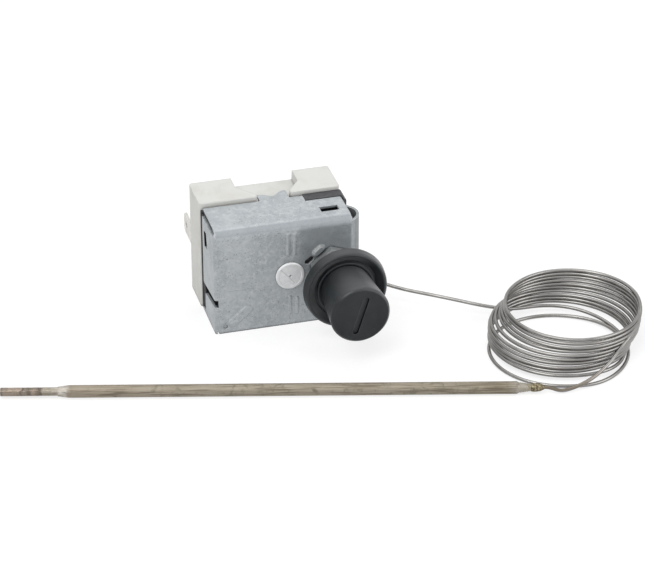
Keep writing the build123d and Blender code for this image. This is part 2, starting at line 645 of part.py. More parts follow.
# Reset button, pressed on its rod, with a clip behind the bush
rod_front = button_front - 4.5
rod_tip = rocker_front - RESET_TRAVEL - 0.8
button_back = button_front - BUTTON_LENGTH
button_outline = (
    (0, button_front),
    (BUTTON_RADIUS - 0.6, button_front),
    (BUTTON_RADIUS, button_front - 0.6),
    (BUTTON_RADIUS, button_back),
    (ROD_RADIUS + SEAT_GAP, button_back),
    (ROD_RADIUS + SEAT_GAP, rod_front + SEAT_GAP),
    (0, rod_front + SEAT_GAP),
)
save(turned(button_outline, reset_section, reset_axis), "reset_button")
rod_outline = (
    (0, rod_front),
    (ROD_RADIUS, rod_front),
    (ROD_RADIUS, cover_front - rod_tip + 0.3),
    (ROD_RADIUS - 0.3, cover_front - rod_tip),
    (0, cover_front - rod_tip),
)
save(turned(rod_outline, reset_section, reset_axis), "reset_rod")
clip_outline = (
    (ROD_RADIUS + 0.01, -bush_inner_end - RUNNING_FIT),
    (ROD_RADIUS + 1.3, -bush_inner_end - RUNNING_FIT),
    (ROD_RADIUS + 1.3, -bush_inner_end - RUNNING_FIT - 0.6),
    (ROD_RADIUS + 0.01, -bush_inner_end - RUNNING_FIT - 0.6),
)
save(turned(clip_outline, reset_section, reset_axis), "rod_clip")


def spring(radius, wire, length, turns, start):
    """Compression spring that runs forward from its start, which is the centre of its back end."""
    forward = (0, -1, 0)
    rise = length - 2 * wire - 2 * SEAT_GAP
    foot = (start[0], start[1] - wire - SEAT_GAP, start[2])
    with BuildPart() as piece:
        with BuildLine() as winding:
            Helix(pitch=rise / turns, height=rise, radius=radius, center=foot, direction=forward)
        with BuildSketch(Plane(origin=winding.line @ 0, z_dir=winding.line % 0)):
            Circle(wire)
        sweep(path=winding.line, is_frenet=True)
    return piece.part


RESET_SPRING_WIRE = 0.3
CONTACT_SPRING_WIRE = 0.25
save(
    spring(
        ROD_RADIUS + 0.95,
        RESET_SPRING_WIRE,
        button_back - BORE_STEP,
        6,
        (RESET_X, cover_front - BORE_STEP, RESET_Z),
    ),
    "reset_spring",
)
save(
    spring(
        2.0,
        CONTACT_SPRING_WIRE,
        cavity_back - rocker_back,
        4,
        (CALIBRATION_X, cavity_back, CALIBRATION_Z),
    ),
    "contact_spring",
)

# Pressure capsule: two dished discs welded at the rim, with a nipple for the capillary
capsule_front = WEB_DEPTH + PLATE + 1.6
capsule_back = capsule_front + CAPSULE_HEIGHT
capsule_middle = (capsule_front + capsule_back) / 2
stud_back = capsule_back + 0.85
NIPPLE_ANGLE = -35
NIPPLE_RADIUS = 1.1
NIPPLE_LENGTH = 1.5
capsule_outline = (
    (0, -capsule_front + 0.65),
    (2.8, -capsule_front + 0.65),
    (2.8, -capsule_front),
    (5.5, -capsule_front),
    (7.6, -capsule_middle + CAPSULE_RIM / 2),
    (CAPSULE_RADIUS, -capsule_middle + CAPSULE_RIM / 2),
    (CAPSULE_RADIUS, -capsule_middle - CAPSULE_RIM / 2),
    (7.6, -capsule_middle - CAPSULE_RIM / 2),
    (5.5, -capsule_back),
    (2.0, -capsule_back),
    (2.0, -stud_back),
    (0, -stud_back),
)
nipple_way = Vector(math.cos(math.radians(NIPPLE_ANGLE)), 0, math.sin(math.radians(NIPPLE_ANGLE)))
capsule_centre = Vector(CALIBRATION_X, cover_front + capsule_middle, CALIBRATION_Z)
nipple_end = capsule_centre + nipple_way * (CAPSULE_RADIUS + NIPPLE_LENGTH)
with BuildPart() as pressure_capsule:
    add(turned(capsule_outline, calibration_section, calibration_axis))
    with BuildSketch(Plane(origin=nipple_end, z_dir=nipple_way)):
        Circle(NIPPLE_RADIUS)
    extrude(amount=-NIPPLE_LENGTH - 1.5)
save(pressure_capsule.part, "pressure_capsule")

# Calibration screw under its sealed plug
SCREW_SLOT = 0.6
PLUG_RADIUS = 4.45
PLUG_HEAD = 0.65
calibration_outline = (
    (0, -SHEET - 0.15),
    (2.6, -SHEET - 0.15),
    (2.6, -web_start),
    (2.0, -web_start),
    (2.0, -capsule_front + 0.65 + SEAT_GAP),
    (0, -capsule_front + 0.65 + SEAT_GAP),
)
with BuildPart() as calibration_screw:
    add(turned(calibration_outline, calibration_section, calibration_axis))
    with BuildSketch(facing(cover_front + SHEET + 0.15)):
        with Locations((CALIBRATION_X, CALIBRATION_Z)):
            Rectangle(SCREW_SLOT, 6, rotation=40)
    extrude(amount=-0.4, mode=Mode.SUBTRACT)
save(calibration_screw.part, "calibration_screw")
plug_outline = (
    (0.35, -SHEET - 0.1),
    (PLUG_HOLE_RADIUS - SEAT_GAP, -SHEET - 0.1),
    (PLUG_HOLE_RADIUS - SEAT_GAP, SEAT_GAP),
    (PLUG_RADIUS, SEAT_GAP),
    (PLUG_RADIUS, PLUG_HEAD - 0.25),
    (PLUG_RADIUS - 0.3, PLUG_HEAD),
    (PLUG_RADIUS - 0.9, PLUG_HEAD),
    (PLUG_RADIUS - 1.0, PLUG_HEAD - 0.1),
    (0.35, PLUG_HEAD - 0.1),
)
with BuildPart() as calibration_plug:
    add(turned(plug_outline, calibration_section, calibration_axis))
    with BuildSketch(facing(cover_front - PLUG_HEAD)):
        with Locations((CALIBRATION_X - 0.7, CALIBRATION_Z)):
            Rectangle(7.0, 0.22, rotation=-50)
    extrude(amount=-0.3, mode=Mode.SUBTRACT)
save(calibration_plug.part, "calibration_plug")

# Ceramic pin that carries the capsule's stroke to the rocker
pin_start = cover_front + stud_back + 0.1
pin_end = rocker_front - 0.1
pin_outline = (
    (0, cover_front - pin_start),
    (PIN_RADIUS, cover_front - pin_start),
    (PIN_RADIUS, cover_front - pin_end + 1.0),
    (0.7, cover_front - pin_end),
    (0, cover_front - pin_end),
)
save(turned(pin_outline, calibration_section, calibration_axis), "transmission_pin")

# Rocker with two ears, on a pivot pin held by a riveted bracket
rocker_bottom = CALIBRATION_Z - ROCKER_WIDTH / 2
rocker_top = CALIBRATION_Z + ROCKER_WIDTH / 2
pivot_y = rocker_back + PIVOT_RADIUS + CONTACT_GAP
EAR = 0.5
PAST_CONTACT = 2.4
PAST_ROD = 1.6
rocker_left = CONTACT_X - PAST_CONTACT
rocker_right = RESET_X + PAST_ROD
with BuildPart() as contact_rocker:
    with BuildSketch(facing(rocker_back)):
        with Locations(((rocker_left + rocker_right) / 2, CALIBRATION_Z)):
            RectangleRounded(rocker_right - rocker_left, ROCKER_WIDTH, 1.2)
        with Locations((CONTACT_X, CALIBRATION_Z)):
            Circle(CONTACT_RADIUS / 2 + SEAT_GAP, mode=Mode.SUBTRACT)
    extrude(amount=ROCKER_SHEET)
    for level in (rocker_bottom + EAR / 2, rocker_top - EAR / 2):
        with Locations((PIVOT_X, (rocker_back + pivot_y + 1.2) / 2, level)):
            Box(2.8, pivot_y + 1.2 - rocker_back, EAR)
    with BuildSketch(Plane.XY.offset(rocker_bottom - 1)):
        with Locations((PIVOT_X, pivot_y)):
            Circle(PIVOT_RADIUS + RUNNING_FIT)
    extrude(amount=ROCKER_WIDTH + 2, mode=Mode.SUBTRACT)
save(contact_rocker.part, "contact_rocker")

BRACKET_MARGIN = 1.2
with BuildPart() as pivot_bracket:
    with BuildSketch(facing(cavity_back)):
        with Locations((RIVET_X - 1.3, CALIBRATION_Z)):
            Rectangle(7.4, ROCKER_WIDTH + 2 * BRACKET_MARGIN)
        with Locations((RIVET_X, TERMINAL_Z)):
            Circle(RIVET_RADIUS + SEAT_GAP, mode=Mode.SUBTRACT)
    extrude(amount=STRIP)
    for level in (rocker_bottom - BRACKET_MARGIN + STRIP / 2, rocker_top + BRACKET_MARGIN - STRIP / 2):
        with Locations((PIVOT_X, (pivot_y - 1.1 + cavity_back) / 2, level)):
            Box(3.4, cavity_back - pivot_y + 1.1, STRIP)
    with BuildSketch(Plane.XY.offset(rocker_bottom - 3)):
        with Locations((PIVOT_X, pivot_y)):
            Circle(PIVOT_RADIUS + SEAT_GAP / 2)
    extrude(amount=ROCKER_WIDTH + 6, mode=Mode.SUBTRACT)
save(pivot_bracket.part, "pivot_bracket")

with BuildPart() as pivot_pin:
    with Locations((PIVOT_X, pivot_y, CALIBRATION_Z)):
        Cylinder(PIVOT_RADIUS, ROCKER_WIDTH + 2 * BRACKET_MARGIN + 0.8)
    chamfer(pivot_pin.edges().filter_by(GeomType.CIRCLE), 0.15)
save(pivot_pin.part, "pivot_pin")


def contact_rivet(face, back, sign):
    """Silver contact at the switching point; sign is +1 where its face looks forward."""
    section = Plane(
        origin=(CONTACT_X, face, CALIBRATION_Z), x_dir=(1, 0, 0), z_dir=(0, 0, -sign)
    )
    axis = Axis((CONTACT_X, face, CALIBRATION_Z), (0, -sign, 0))
    shank = abs(back - face)
    outline = (
        (0, 0),
        (CONTACT_RADIUS - 0.3, 0),
        (CONTACT_RADIUS, -0.2),
        (CONTACT_RADIUS, -CONTACT_HEIGHT + SEAT_GAP),
        (CONTACT_RADIUS / 2, -CONTACT_HEIGHT + SEAT_GAP),
        (CONTACT_RADIUS / 2, -shank - SEAT_GAP),
        (CONTACT_RADIUS * 0.75, -shank - SEAT_GAP),
        (CONTACT_RADIUS * 0.75, -shank - 0.3),
        (0, -shank - 0.3),
    )
    return turned(outline, section, axis)


moving_face = rocker_front - CONTACT_HEIGHT
fixed_face = moving_face - CONTACT_GAP
strip_back = fixed_face - CONTACT_HEIGHT
save(contact_rivet(moving_face, rocker_back, 1), "moving_contact")
save(contact_rivet(fixed_face, strip_back - STRIP, -1), "fixed_contact")

# Brass strip that brings the fixed contact in front of the rocker
STRIP_X = CAVITY_LEFT + 0.2
with BuildPart() as contact_strip:
    with BuildSketch(Plane.XY.offset(rocker_bottom)):
        with Locations((STRIP_X + 2.6, cavity_back - STRIP / 2)):
            Rectangle(5.2, STRIP)
        with Locations((STRIP_X + STRIP / 2, (cavity_back + strip_back - STRIP) / 2)):
            Rectangle(STRIP, cavity_back - strip_back + STRIP)
        with Locations((STRIP_X + 4.2, strip_back - STRIP / 2)):
            Rectangle(8.4, STRIP)
    extrude(amount=ROCKER_WIDTH)
    with BuildSketch(facing(cavity_back + 1)):
        with Locations((-RIVET_X, TERMINAL_Z)):
            Circle(RIVET_RADIUS + SEAT_GAP)
    extrude(amount=2 + STRIP, mode=Mode.SUBTRACT)
    with BuildSketch(facing(strip_back + 1)):
        with Locations((CONTACT_X, CALIBRATION_Z)):
            Circle(CONTACT_RADIUS / 2 + SEAT_GAP)
    extrude(amount=2 + STRIP, mode=Mode.SUBTRACT)
save(contact_strip.part, "contact_strip")

# Terminals: a lug on the back of the base, bent into a blade
lug_face = base_back - LUG_RECESS
for side, name in ((-1, "terminal_left"), (1, "terminal_right")):
    outer = side * (half_width - 0.2)
    with BuildPart() as terminal:
        with BuildSketch(Plane.XY.offset(TERMINAL_Z - BLADE_WIDTH / 2)) as bend:
            with Locations((outer - side * LUG_LENGTH / 2, lug_face + BLADE_SHEET / 2)):
                Rectangle(LUG_LENGTH, BLADE_SHEET)
            with Locations((outer - side * BLADE_SHEET / 2, (lug_face + base_back + BLADE_REACH) / 2)):
                Rectangle(BLADE_SHEET, base_back + BLADE_REACH - lug_face)
            fillet(bend.vertices().group_by(Axis.Y)[0].sort_by(Axis.X)[0 if side < 0 else -1], 0.7)
        extrude(amount=BLADE_WIDTH)
        chamfer(terminal.edges().filter_by(Axis.X).group_by(Axis.Y)[-1], 1.3, 0.9)
        with BuildSketch(Plane.YZ.offset(outer - 2)):
            with Locations((base_back + BLADE_REACH - 3.2, TERMINAL_Z)):
                Circle(BLADE_HOLE_RADIUS)
        extrude(amount=4, mode=Mode.SUBTRACT)
        with BuildSketch(facing(base_back)):
            with Locations((side * RIVET_X, TERMINAL_Z)):
                Circle(RIVET_RADIUS + SEAT_GAP)
        extrude(amount=2, mode=Mode.SUBTRACT)
    save(terminal.part, name)

# Rivets through lug, base and the strip or bracket behind it
rivet_outer = lug_face + BLADE_SHEET
rivet_inner = cavity_back - STRIP
with BuildPart() as terminal_rivets:
    with BuildSketch(facing(rivet_outer + RIVET_HEAD)):
        with Locations((-RIVET_X, TERMINAL_Z), (RIVET_X, TERMINAL_Z)):
            Circle(RIVET_RADIUS)
    extrude(amount=rivet_outer - rivet_inner + 2 * RIVET_HEAD)
    with BuildSketch(facing(rivet_outer + RIVET_HEAD)):
        with Locations((-RIVET_X, TERMINAL_Z), (RIVET_X, TERMINAL_Z)):
            Circle(RIVET_HEAD_RADIUS - 0.4)
    extrude(amount=RIVET_HEAD, taper=-30)
    with BuildSketch(facing(rivet_inner)):
        with Locations((-RIVET_X, TERMINAL_Z), (RIVET_X, TERMINAL_Z)):
            Circle(RIVET_HEAD_RADIUS - 0.5)
    extrude(amount=RIVET_HEAD)
save(terminal_rivets.part, "terminal_rivets")

# Two slotted screws from the back of the base into the feet of the chassis
head_front = base_back - SCREW_HEAD
with BuildPart() as assembly_screws:
    with BuildSketch(facing(head_front)):
        with Locations(*SCREW_PLACES):
            Circle(SCREW_RADIUS)
    extrude(amount=head_front - plate_front + PLATE + 0.5)
    with BuildSketch(facing(base_back - 0.1)):
        with Locations(*SCREW_PLACES):
            Circle(SCREW_HEAD_RADIUS)
    extrude(amount=SCREW_HEAD - 0.1)
    with BuildSketch(facing(base_back - 0.1)):
        with Locations(*SCREW_PLACES):
            Rectangle(8, 0.8, rotation=25)
    extrude(amount=0.8, mode=Mode.SUBTRACT)
save(assembly_screws.part, "assembly_screws")

# Ferrule in the right flap, where the capillary leaves
ferrule_start = half_width - SHEET
ferrule_end = ferrule_start + FERRULE_LENGTH
with BuildPart() as capillary_ferrule:
    with BuildSketch(Plane.YZ.offset(ferrule_start)):
        with Locations((EXIT_Y, EXIT_Z)):
            Circle(FERRULE_RADIUS)
    extrude(amount=FERRULE_LENGTH - 1.0)
    with BuildSketch(Plane.YZ.offset(ferrule_start + FERRULE_LENGTH - 1.0)):
        with Locations((EXIT_Y, EXIT_Z)):
            Circle(FERRULE_RADIUS)
    with BuildSketch(Plane.YZ.offset(ferrule_end)):
        with Locations((EXIT_Y, EXIT_Z)):
            Circle(CAPILLARY_RADIUS + 0.3)
    loft()
save(capillary_ferrule.part, "capillary_ferrule")


def tube(points, name):
    """Capillary along straight runs joined by arcs as large as the runs allow."""
    places = [Vector(*point) for point in points]
    radii = []
    for before, corner, after in zip(places, places[1:], places[2:]):
        turn = math.radians((corner - before).get_angle(after - corner))
        run = min((corner - before).length, (after - corner).length)
        radii.append(0.45 * run / math.tan(turn / 2))
    print(name, "radii", [round(radius, 1) for radius in radii])
    with BuildPart() as piece:
        with BuildLine() as way:
            FilletPolyline(*places, radius=radii)
        with BuildSketch(Plane(origin=places[0], z_dir=places[1] - places[0])):
            Circle(CAPILLARY_RADIUS)
        sweep(path=way.line)
    length = sum(edge.length for edge in way.edges())
    print(name, "length", round(length, 1), "volume", round(piece.part.volume / length, 4))
    save(piece.part, name)


# Capillary inside the cover, from the capsule round the reset rod to the ferrule
tube(
    (
        tuple(nipple_end),
        tuple(nipple_end + nipple_way * 4.2),
        (ferrule_start - 2.9, EXIT_Y, EXIT_Z),
        (ferrule_start, EXIT_Y, EXIT_Z),
    ),
    "capillary_inner",
)

# Capillary lead, from the ferrule down to the back of the coil
tube(
    (
        (ferrule_end, EXIT_Y, EXIT_Z),
        (ferrule_end + 4.6, EXIT_Y, EXIT_Z),
        (37.0, -22.3, 5.9),
        (44.6, -26.5, 5.2),
        (52.0, -31.0, 4.6),
        (58.8, -34.9, 3.8),
        (65.0, -37.2, 3.0),
    ),
    "capillary_lead",
)

# Coil: a loose loop on the floor under a stack of turns that leans back and to the right
def coil_place(across, away):
    """Place in the frame of a point of the coil, given across and away from the viewer."""
    turn = math.radians(COIL_TURN)
    return (
        COIL_CENTRE[0] + across * math.cos(turn) - away * math.sin(turn),
        COIL_CENTRE[1] + across * math.sin(turn) + away * math.cos(turn),
    )


loop_top = 2 * CAPILLARY_RADIUS
with BuildPart() as capillary_coil:
    with BuildSketch(Plane.XY):
        with Locations(coil_place(0, 0)):
            Circle(LOOP_RADIUS + CAPILLARY_RADIUS)
            Circle(LOOP_RADIUS - CAPILLARY_RADIUS, mode=Mode.SUBTRACT)
    extrude(amount=loop_top + 0.1)
    with BuildSketch(Plane.XY.offset(loop_top)):
        with Locations(coil_place(*STACK_BASE)):
            Circle(LOOP_RADIUS + 1.6)
    with BuildSketch(Plane.XY.offset(STACK_HEIGHT)):
        with Locations(coil_place(*STACK_TOP)):
            Circle(LOOP_RADIUS + 0.8)
    loft()
    with BuildSketch(Plane.XY.offset(loop_top)):
        with Locations(coil_place(*STACK_BASE)):
            Circle(LOOP_RADIUS + 1.6 - STACK_WALL)
    with BuildSketch(Plane.XY.offset(STACK_HEIGHT)):
        with Locations(coil_place(*STACK_TOP)):
            Circle(LOOP_RADIUS + 0.8 - STACK_WALL + 0.6)
    loft(mode=Mode.SUBTRACT)
save(capillary_coil.part, "capillary_coil")

# Bulb: drawn tube with a swaged, finely ribbed neck, a filling stub and a brazed collar
bulb_along = Vector(math.cos(math.radians(BULB_TURN)), math.sin(math.radians(BULB_TURN)), 0)
bulb_origin = Vector(BULB_END[0], BULB_END[1], BULB_RADIUS)
bulb_section = Plane(origin=bulb_origin, x_dir=bulb_along, z_dir=bulb_along.cross(Vector(0, 0, 1)))
bulb_axis = Axis(bulb_origin, bulb_along)
NECK_START = 0.3
NECK_SHOULDER = 0.2
NECK_RIBS = 7
NECK_RIB_PITCH = 0.5
NECK_RIB_DEPTH = 0.12
neck_slope = (BULB_RADIUS - NECK_SHOULDER - BULB_NECK_RADIUS) / (BULB_NECK - NECK_START)
neck_ribs = []
for rib in range(NECK_RIBS):
    along = BULB_NECK - rib * NECK_RIB_PITCH
    radius = BULB_NECK_RADIUS + neck_slope * (BULB_NECK - along)
    neck_ribs.append((along, radius))
    neck_ribs.append((along - NECK_RIB_PITCH / 2, radius - NECK_RIB_DEPTH))
tube_outline = (
    (BULB_NECK, 0),
    *neck_ribs,
    (NECK_START, BULB_RADIUS - NECK_SHOULDER),
    (0, BULB_RADIUS),
    (-BULB_LENGTH, BULB_RADIUS),
    (-BULB_LENGTH - BULB_TAPER, STUB_RADIUS + 0.15),
    (-BULB_LENGTH - BULB_TAPER, 0),
)
save(turned(tube_outline, bulb_section, bulb_axis), "bulb_tube")
stub_start = -BULB_LENGTH - BULB_TAPER
stub_end = stub_start - STUB_LENGTH
CRIMPS = (5.0, 7.8, 9.6)
CRIMP_DEPTH = 0.35
with BuildPart() as fill_stub:
    with BuildSketch(bulb_section):
        with BuildLine():
            Polyline(
                (stub_start, 0),
                (stub_start, STUB_RADIUS),
                (stub_end, STUB_RADIUS),
                (stub_end, 0),
                close=True,
            )
        make_face()
    revolve(axis=bulb_axis)
    with BuildSketch(bulb_section):
        for level in (-1, 1):
            with Locations(*[(stub_start - crimp, level * (STUB_RADIUS + 0.2)) for crimp in CRIMPS]):
                Rectangle(1.3, 0.4 + 2 * CRIMP_DEPTH)
            with Locations((stub_end, level * (STUB_RADIUS + 0.2))):
                Rectangle(4.4, 0.4 + 1.4 * CRIMP_DEPTH)
    extrude(amount=STUB_RADIUS + 1, both=True, mode=Mode.SUBTRACT)
save(fill_stub.part, "fill_stub")
collar_outline = (
    (BULB_NECK, 0),
    (BULB_NECK, BULB_NECK_RADIUS),
    (BULB_NECK + 0.6, COLLAR_RADIUS),
    (BULB_NECK + COLLAR_LENGTH - 1.2, COLLAR_RADIUS - 0.1),
    (BULB_NECK + COLLAR_LENGTH, CAPILLARY_RADIUS + 0.15),
    (BULB_NECK + COLLAR_LENGTH, 0),
)
save(turned(collar_outline, bulb_section, bulb_axis), "braze_collar")

# Capillary tail, from the right of the coil over the floor loop to the bulb
tail_start = bulb_origin + bulb_along * (BULB_NECK + COLLAR_LENGTH)
tube(
    (
        tuple(tail_start),
        tuple(tail_start + bulb_along * 1.6),
        (67.3, -82.2, 1.05),
        (70.9, -82.5, 1.5),
        (76.0, -81.7, 2.1),
        (80.2, -80.0, 3.0),
        (84.2, -77.4, 4.0),
        (87.2, -74.8, 4.9),
        (89.9, -72.2, 5.9),
    ),
    "capillary_tail",
)
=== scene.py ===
import bpy
import math
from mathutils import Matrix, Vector


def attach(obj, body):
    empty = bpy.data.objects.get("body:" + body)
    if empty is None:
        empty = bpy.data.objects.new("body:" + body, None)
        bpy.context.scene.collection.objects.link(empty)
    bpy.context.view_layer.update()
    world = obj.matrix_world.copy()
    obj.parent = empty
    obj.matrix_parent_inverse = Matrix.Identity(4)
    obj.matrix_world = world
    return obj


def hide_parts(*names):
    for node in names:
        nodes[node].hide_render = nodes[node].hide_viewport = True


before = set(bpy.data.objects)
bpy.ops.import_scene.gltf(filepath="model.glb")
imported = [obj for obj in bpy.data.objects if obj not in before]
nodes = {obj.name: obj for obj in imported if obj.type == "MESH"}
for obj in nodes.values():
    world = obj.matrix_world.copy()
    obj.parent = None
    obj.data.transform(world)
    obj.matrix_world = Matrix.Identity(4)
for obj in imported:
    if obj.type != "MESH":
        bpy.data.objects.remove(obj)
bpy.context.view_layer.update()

# Ceramic base: a block of unglazed steatite, pressed dry and fired.
# Its edges come soft out of the die, its skin is matt with fine pits and grey handling marks.
MM = 0.001
STEATITE = (0.63, 0.63, 0.605)
STEATITE_HANDLED = (0.585, 0.58, 0.55)
STEATITE_SPECK = (0.55, 0.53, 0.49)
STEATITE_EDGE = (0.665, 0.665, 0.645)
STEATITE_PAINTED_SHADE = (0.30, 0.295, 0.28)


def place(tree, kind, feeds=None, **settings):
    """Add a node. feeds gives each input a value or another node's output."""
    node = tree.nodes.new(kind)
    for key, value in settings.items():
        setattr(node, key, value)
    for key, value in (feeds or {}).items():
        if isinstance(value, bpy.types.NodeSocket):
            tree.links.new(value, node.inputs[key])
        else:
            node.inputs[key].default_value = value
    return node


def start_group(name, inputs, outputs):
    """Node group with number inputs, and outputs of the socket kinds given."""
    group = bpy.data.node_groups.new(name, "ShaderNodeTree")
    for label, value in inputs.items():
        socket = group.interface.new_socket(label, in_out="INPUT", socket_type="NodeSocketFloat")
        socket.default_value = value
    for label, kind in outputs.items():
        group.interface.new_socket(label, in_out="OUTPUT", socket_type="NodeSocket" + kind)
    return group, group.nodes.new("NodeGroupInput"), group.nodes.new("NodeGroupOutput")


def millimetres(tree, stretch=(1, 1, 1), turn=(0, 0, 0)):
    """The piece's own coordinates in millimetres, turned and stretched."""
    source = place(tree, "ShaderNodeTexCoord")
    turned = place(tree, "ShaderNodeMapping", {"Vector": source.outputs["Object"], "Rotation": turn})
    scale = tuple(part / MM for part in stretch)
    scaled = place(tree, "ShaderNodeMapping", {"Vector": turned.outputs[0], "Scale": scale})
    return scaled.outputs[0]


def calculate(tree, operation, first, second):
    """Result of one sum on two numbers, each a value or a node's output."""
    return place(tree, "ShaderNodeMath", {0: first, 1: second}, operation=operation).outputs[0]


def product(tree, mask, *limits):
    """A mask that holds only where all the limits hold too."""
    for limit in limits:
        mask = calculate(tree, "MULTIPLY", mask, limit)
    return mask


def pointing(tree, vector, direction):
    """How far a vector points in a direction: 1 along it, 0 across it."""
    feeds = {0: vector, 1: direction}
    return place(tree, "ShaderNodeVectorMath", feeds, operation="DOT_PRODUCT").outputs["Value"]


def between(tree, value, low, high, to_low=0.0, to_high=1.0):
    """Value spread smoothly from low..high to the new limits."""
    feeds = {0: value, 1: low, 2: high, 3: to_low, 4: to_high}
    spread = place(tree, "ShaderNodeMapRange", feeds, interpolation_type="SMOOTHSTEP")
    return spread.outputs[0]


def noise(tree, vector, scale, detail, **more):
    """Cloudy value over these coordinates, from 0 to 1."""
    feeds = {"Vector": vector, "Scale": scale, "Detail": detail, **more}
    return place(tree, "ShaderNodeTexNoise", feeds).outputs["Fac"]


# Cloudy stains: soft patches of a given size in millimetres
THICKEST_CLOUD = 0.72
stains_inputs = {"Size": 5.0, "Cover": 0.5, "Edge": 0.15}
stains, entry, leave = start_group("cloudy_stains", stains_inputs, {"Mask": "Float"})
frequency = calculate(stains, "DIVIDE", 1.0, entry.outputs["Size"])
cloud = noise(stains, millimetres(stains), frequency, 6.0, Roughness=0.62, Distortion=0.5)
start = calculate(stains, "SUBTRACT", THICKEST_CLOUD, entry.outputs["Cover"])
low = calculate(stains, "SUBTRACT", start, entry.outputs["Edge"])
high = calculate(stains, "ADD", start, entry.outputs["Edge"])
stains.links.new(between(stains, cloud, low, high), leave.inputs["Mask"])

# Grain: the fine unevenness of a surface, as a height from 0 to 1
grain, entry, leave = start_group("surface_grain", {"Size": 0.3}, {"Height": "Float"})
frequency = calculate(grain, "DIVIDE", 1.0, entry.outputs["Size"])
grain.links.new(noise(grain, millimetres(grain), frequency, 4.0, Roughness=0.6), leave.inputs["Height"])

# Soft edges: the normal of an edge rounded by a radius in millimetres, and where that edge lies
soft_edge, entry, leave = start_group("soft_edges", {"Radius": 0.2}, {"Normal": "Vector", "Edge": "Float"})
radius = calculate(soft_edge, "MULTIPLY", entry.outputs["Radius"], MM)
rounded = place(soft_edge, "ShaderNodeBevel", {"Radius": radius}, samples=6)
flat = place(soft_edge, "ShaderNodeNewGeometry")
agreement = pointing(soft_edge, rounded.outputs[0], flat.outputs["Normal"])
soft_edge.links.new(rounded.outputs[0], leave.inputs["Normal"])
soft_edge.links.new(between(soft_edge, agreement, 0.995, 0.82), leave.inputs["Edge"])

# Hollows: how far a spot lies shut in a corner or a gap, felt within a reach in millimetres, as the mask for
# painted shade
hollows, entry, leave = start_group("hollows", {"Reach": 1.5}, {"Mask": "Float"})
reach = calculate(hollows, "MULTIPLY", entry.outputs["Reach"], MM)
openness = place(hollows, "ShaderNodeAmbientOcclusion", {"Distance": reach}, samples=6)
hollows.links.new(between(hollows, openness.outputs["AO"], 0.82, 0.42), leave.inputs["Mask"])


def use(tree, group, **values):
    """Place a node group with its own values."""
    node = place(tree, "ShaderNodeGroup", node_tree=group)
    for key, value in values.items():
        node.inputs[key].default_value = value
    return node


def stained(tree, size, cover, edge):
    """Mask of cloudy stains."""
    return use(tree, stains, Size=size, Cover=cover, Edge=edge).outputs["Mask"]


def blend_colours(tree, factor, first, second):
    """Colour that goes from first to second with the factor; either may be a node's output."""
    mix = place(tree, "ShaderNodeMix", data_type="RGBA")
    for socket, value in ((mix.inputs[0], factor), (mix.inputs[6], first), (mix.inputs[7], second)):
        if isinstance(value, bpy.types.NodeSocket):
            tree.links.new(value, socket)
        else:
            socket.default_value = value if isinstance(value, float) else (*value, 1.0)
    return mix.outputs[2]


def new_finish(name, **values):
    """Material with a Principled shader; values are its own sockets, with _ for a space."""
    material = bpy.data.materials.new(name)
    material.use_nodes = True
    shader = material.node_tree.nodes["Principled BSDF"]
    for key, value in values.items():
        shader.inputs[key.replace("_", " ")].default_value = value
    return material, material.node_tree, shader


def relief(tree, shader, height, depth, edge=None):
    """Bump of that depth in millimetres into the shader, over soft edges where given."""
    feeds = {"Height": height, "Distance": depth * MM, "Strength": 1.0}
    if edge:
        feeds["Normal"] = edge.outputs["Normal"]
    bump = place(tree, "ShaderNodeBump", feeds)
    tree.links.new(bump.outputs[0], shader.inputs["Normal"])


def dress(finish, *names):
    """Give CAD nodes this finish."""
    for name in names:
        piece = nodes[name]
        if not piece.material_slots:
            piece.data.materials.append(finish)
        for slot in piece.material_slots:
            slot.material = finish


steatite, tree, shader = new_finish("steatite", Roughness=0.72, IOR=1.5, Specular_IOR_Level=0.35)
edge = use(tree, soft_edge, Radius=0.55)
clay = blend_colours(tree, stained(tree, 9.0, 0.16, 0.14), STEATITE, STEATITE_HANDLED)
clay = blend_colours(tree, stained(tree, 0.6, 0.0, 0.02), clay, STEATITE_SPECK)
clay = blend_colours(tree, edge.outputs["Edge"], clay, STEATITE_EDGE)
# Corners and gaps are darkened: painted shade
clay = blend_colours(tree, use(tree, hollows, Reach=1.2).outputs["Mask"], clay, STEATITE_PAINTED_SHADE)
tree.links.new(clay, shader.inputs["Base Color"])
relief(tree, shader, use(tree, grain, Size=0.35).outputs["Height"], 0.05, edge)
dress(steatite, "ceramic_base")

# Terminals and rivets: blades and lugs stamped from tinned brass sheet, riveted through the ceramic.
# Tin dulls to a soft grey, rubbed brighter in thin lines, and the rivet heads show turned brass.
RUB_DIRECTIONS = (0.35, 1.45, 2.5)
METAL_GRAIN_SIZE = 0.25
METAL_GRAIN_DEPTH = 0.012
WORN_BRIGHTER = 1.25
TIN_DULL = (0.52, 0.51, 0.48)
TIN_BRIGHT = (0.66, 0.65, 0.62)
BRASS_DULL = (0.50, 0.37, 0.16)
BRASS_BRIGHT = (0.68, 0.53, 0.27)
rubs_inputs = {"Length": 6.0, "Width": 0.12, "Amount": 0.5}
rubs, entry, leave = start_group("rub_marks", rubs_inputs, {"Mask": "Float"})
lines = None
for turn in RUB_DIRECTIONS:
    way = millimetres(rubs, turn=(0.4 * turn, 0.3, turn))
    long_way = calculate(rubs, "DIVIDE", 1.0, entry.outputs["Length"])
    short_way = calculate(rubs, "DIVIDE", 1.0, entry.outputs["Width"])
    scale = place(rubs, "ShaderNodeCombineXYZ", {0: long_way, 1: short_way, 2: short_way})
    stretched = place(rubs, "ShaderNodeVectorMath", {0: way, 1: scale.outputs[0]}, operation="MULTIPLY")
    line = between(rubs, noise(rubs, stretched.outputs[0], 1.0, 1.0), 0.70, 0.76)
    if lines is None:
        lines = line
    else:
        lines = calculate(rubs, "MAXIMUM", lines, line)
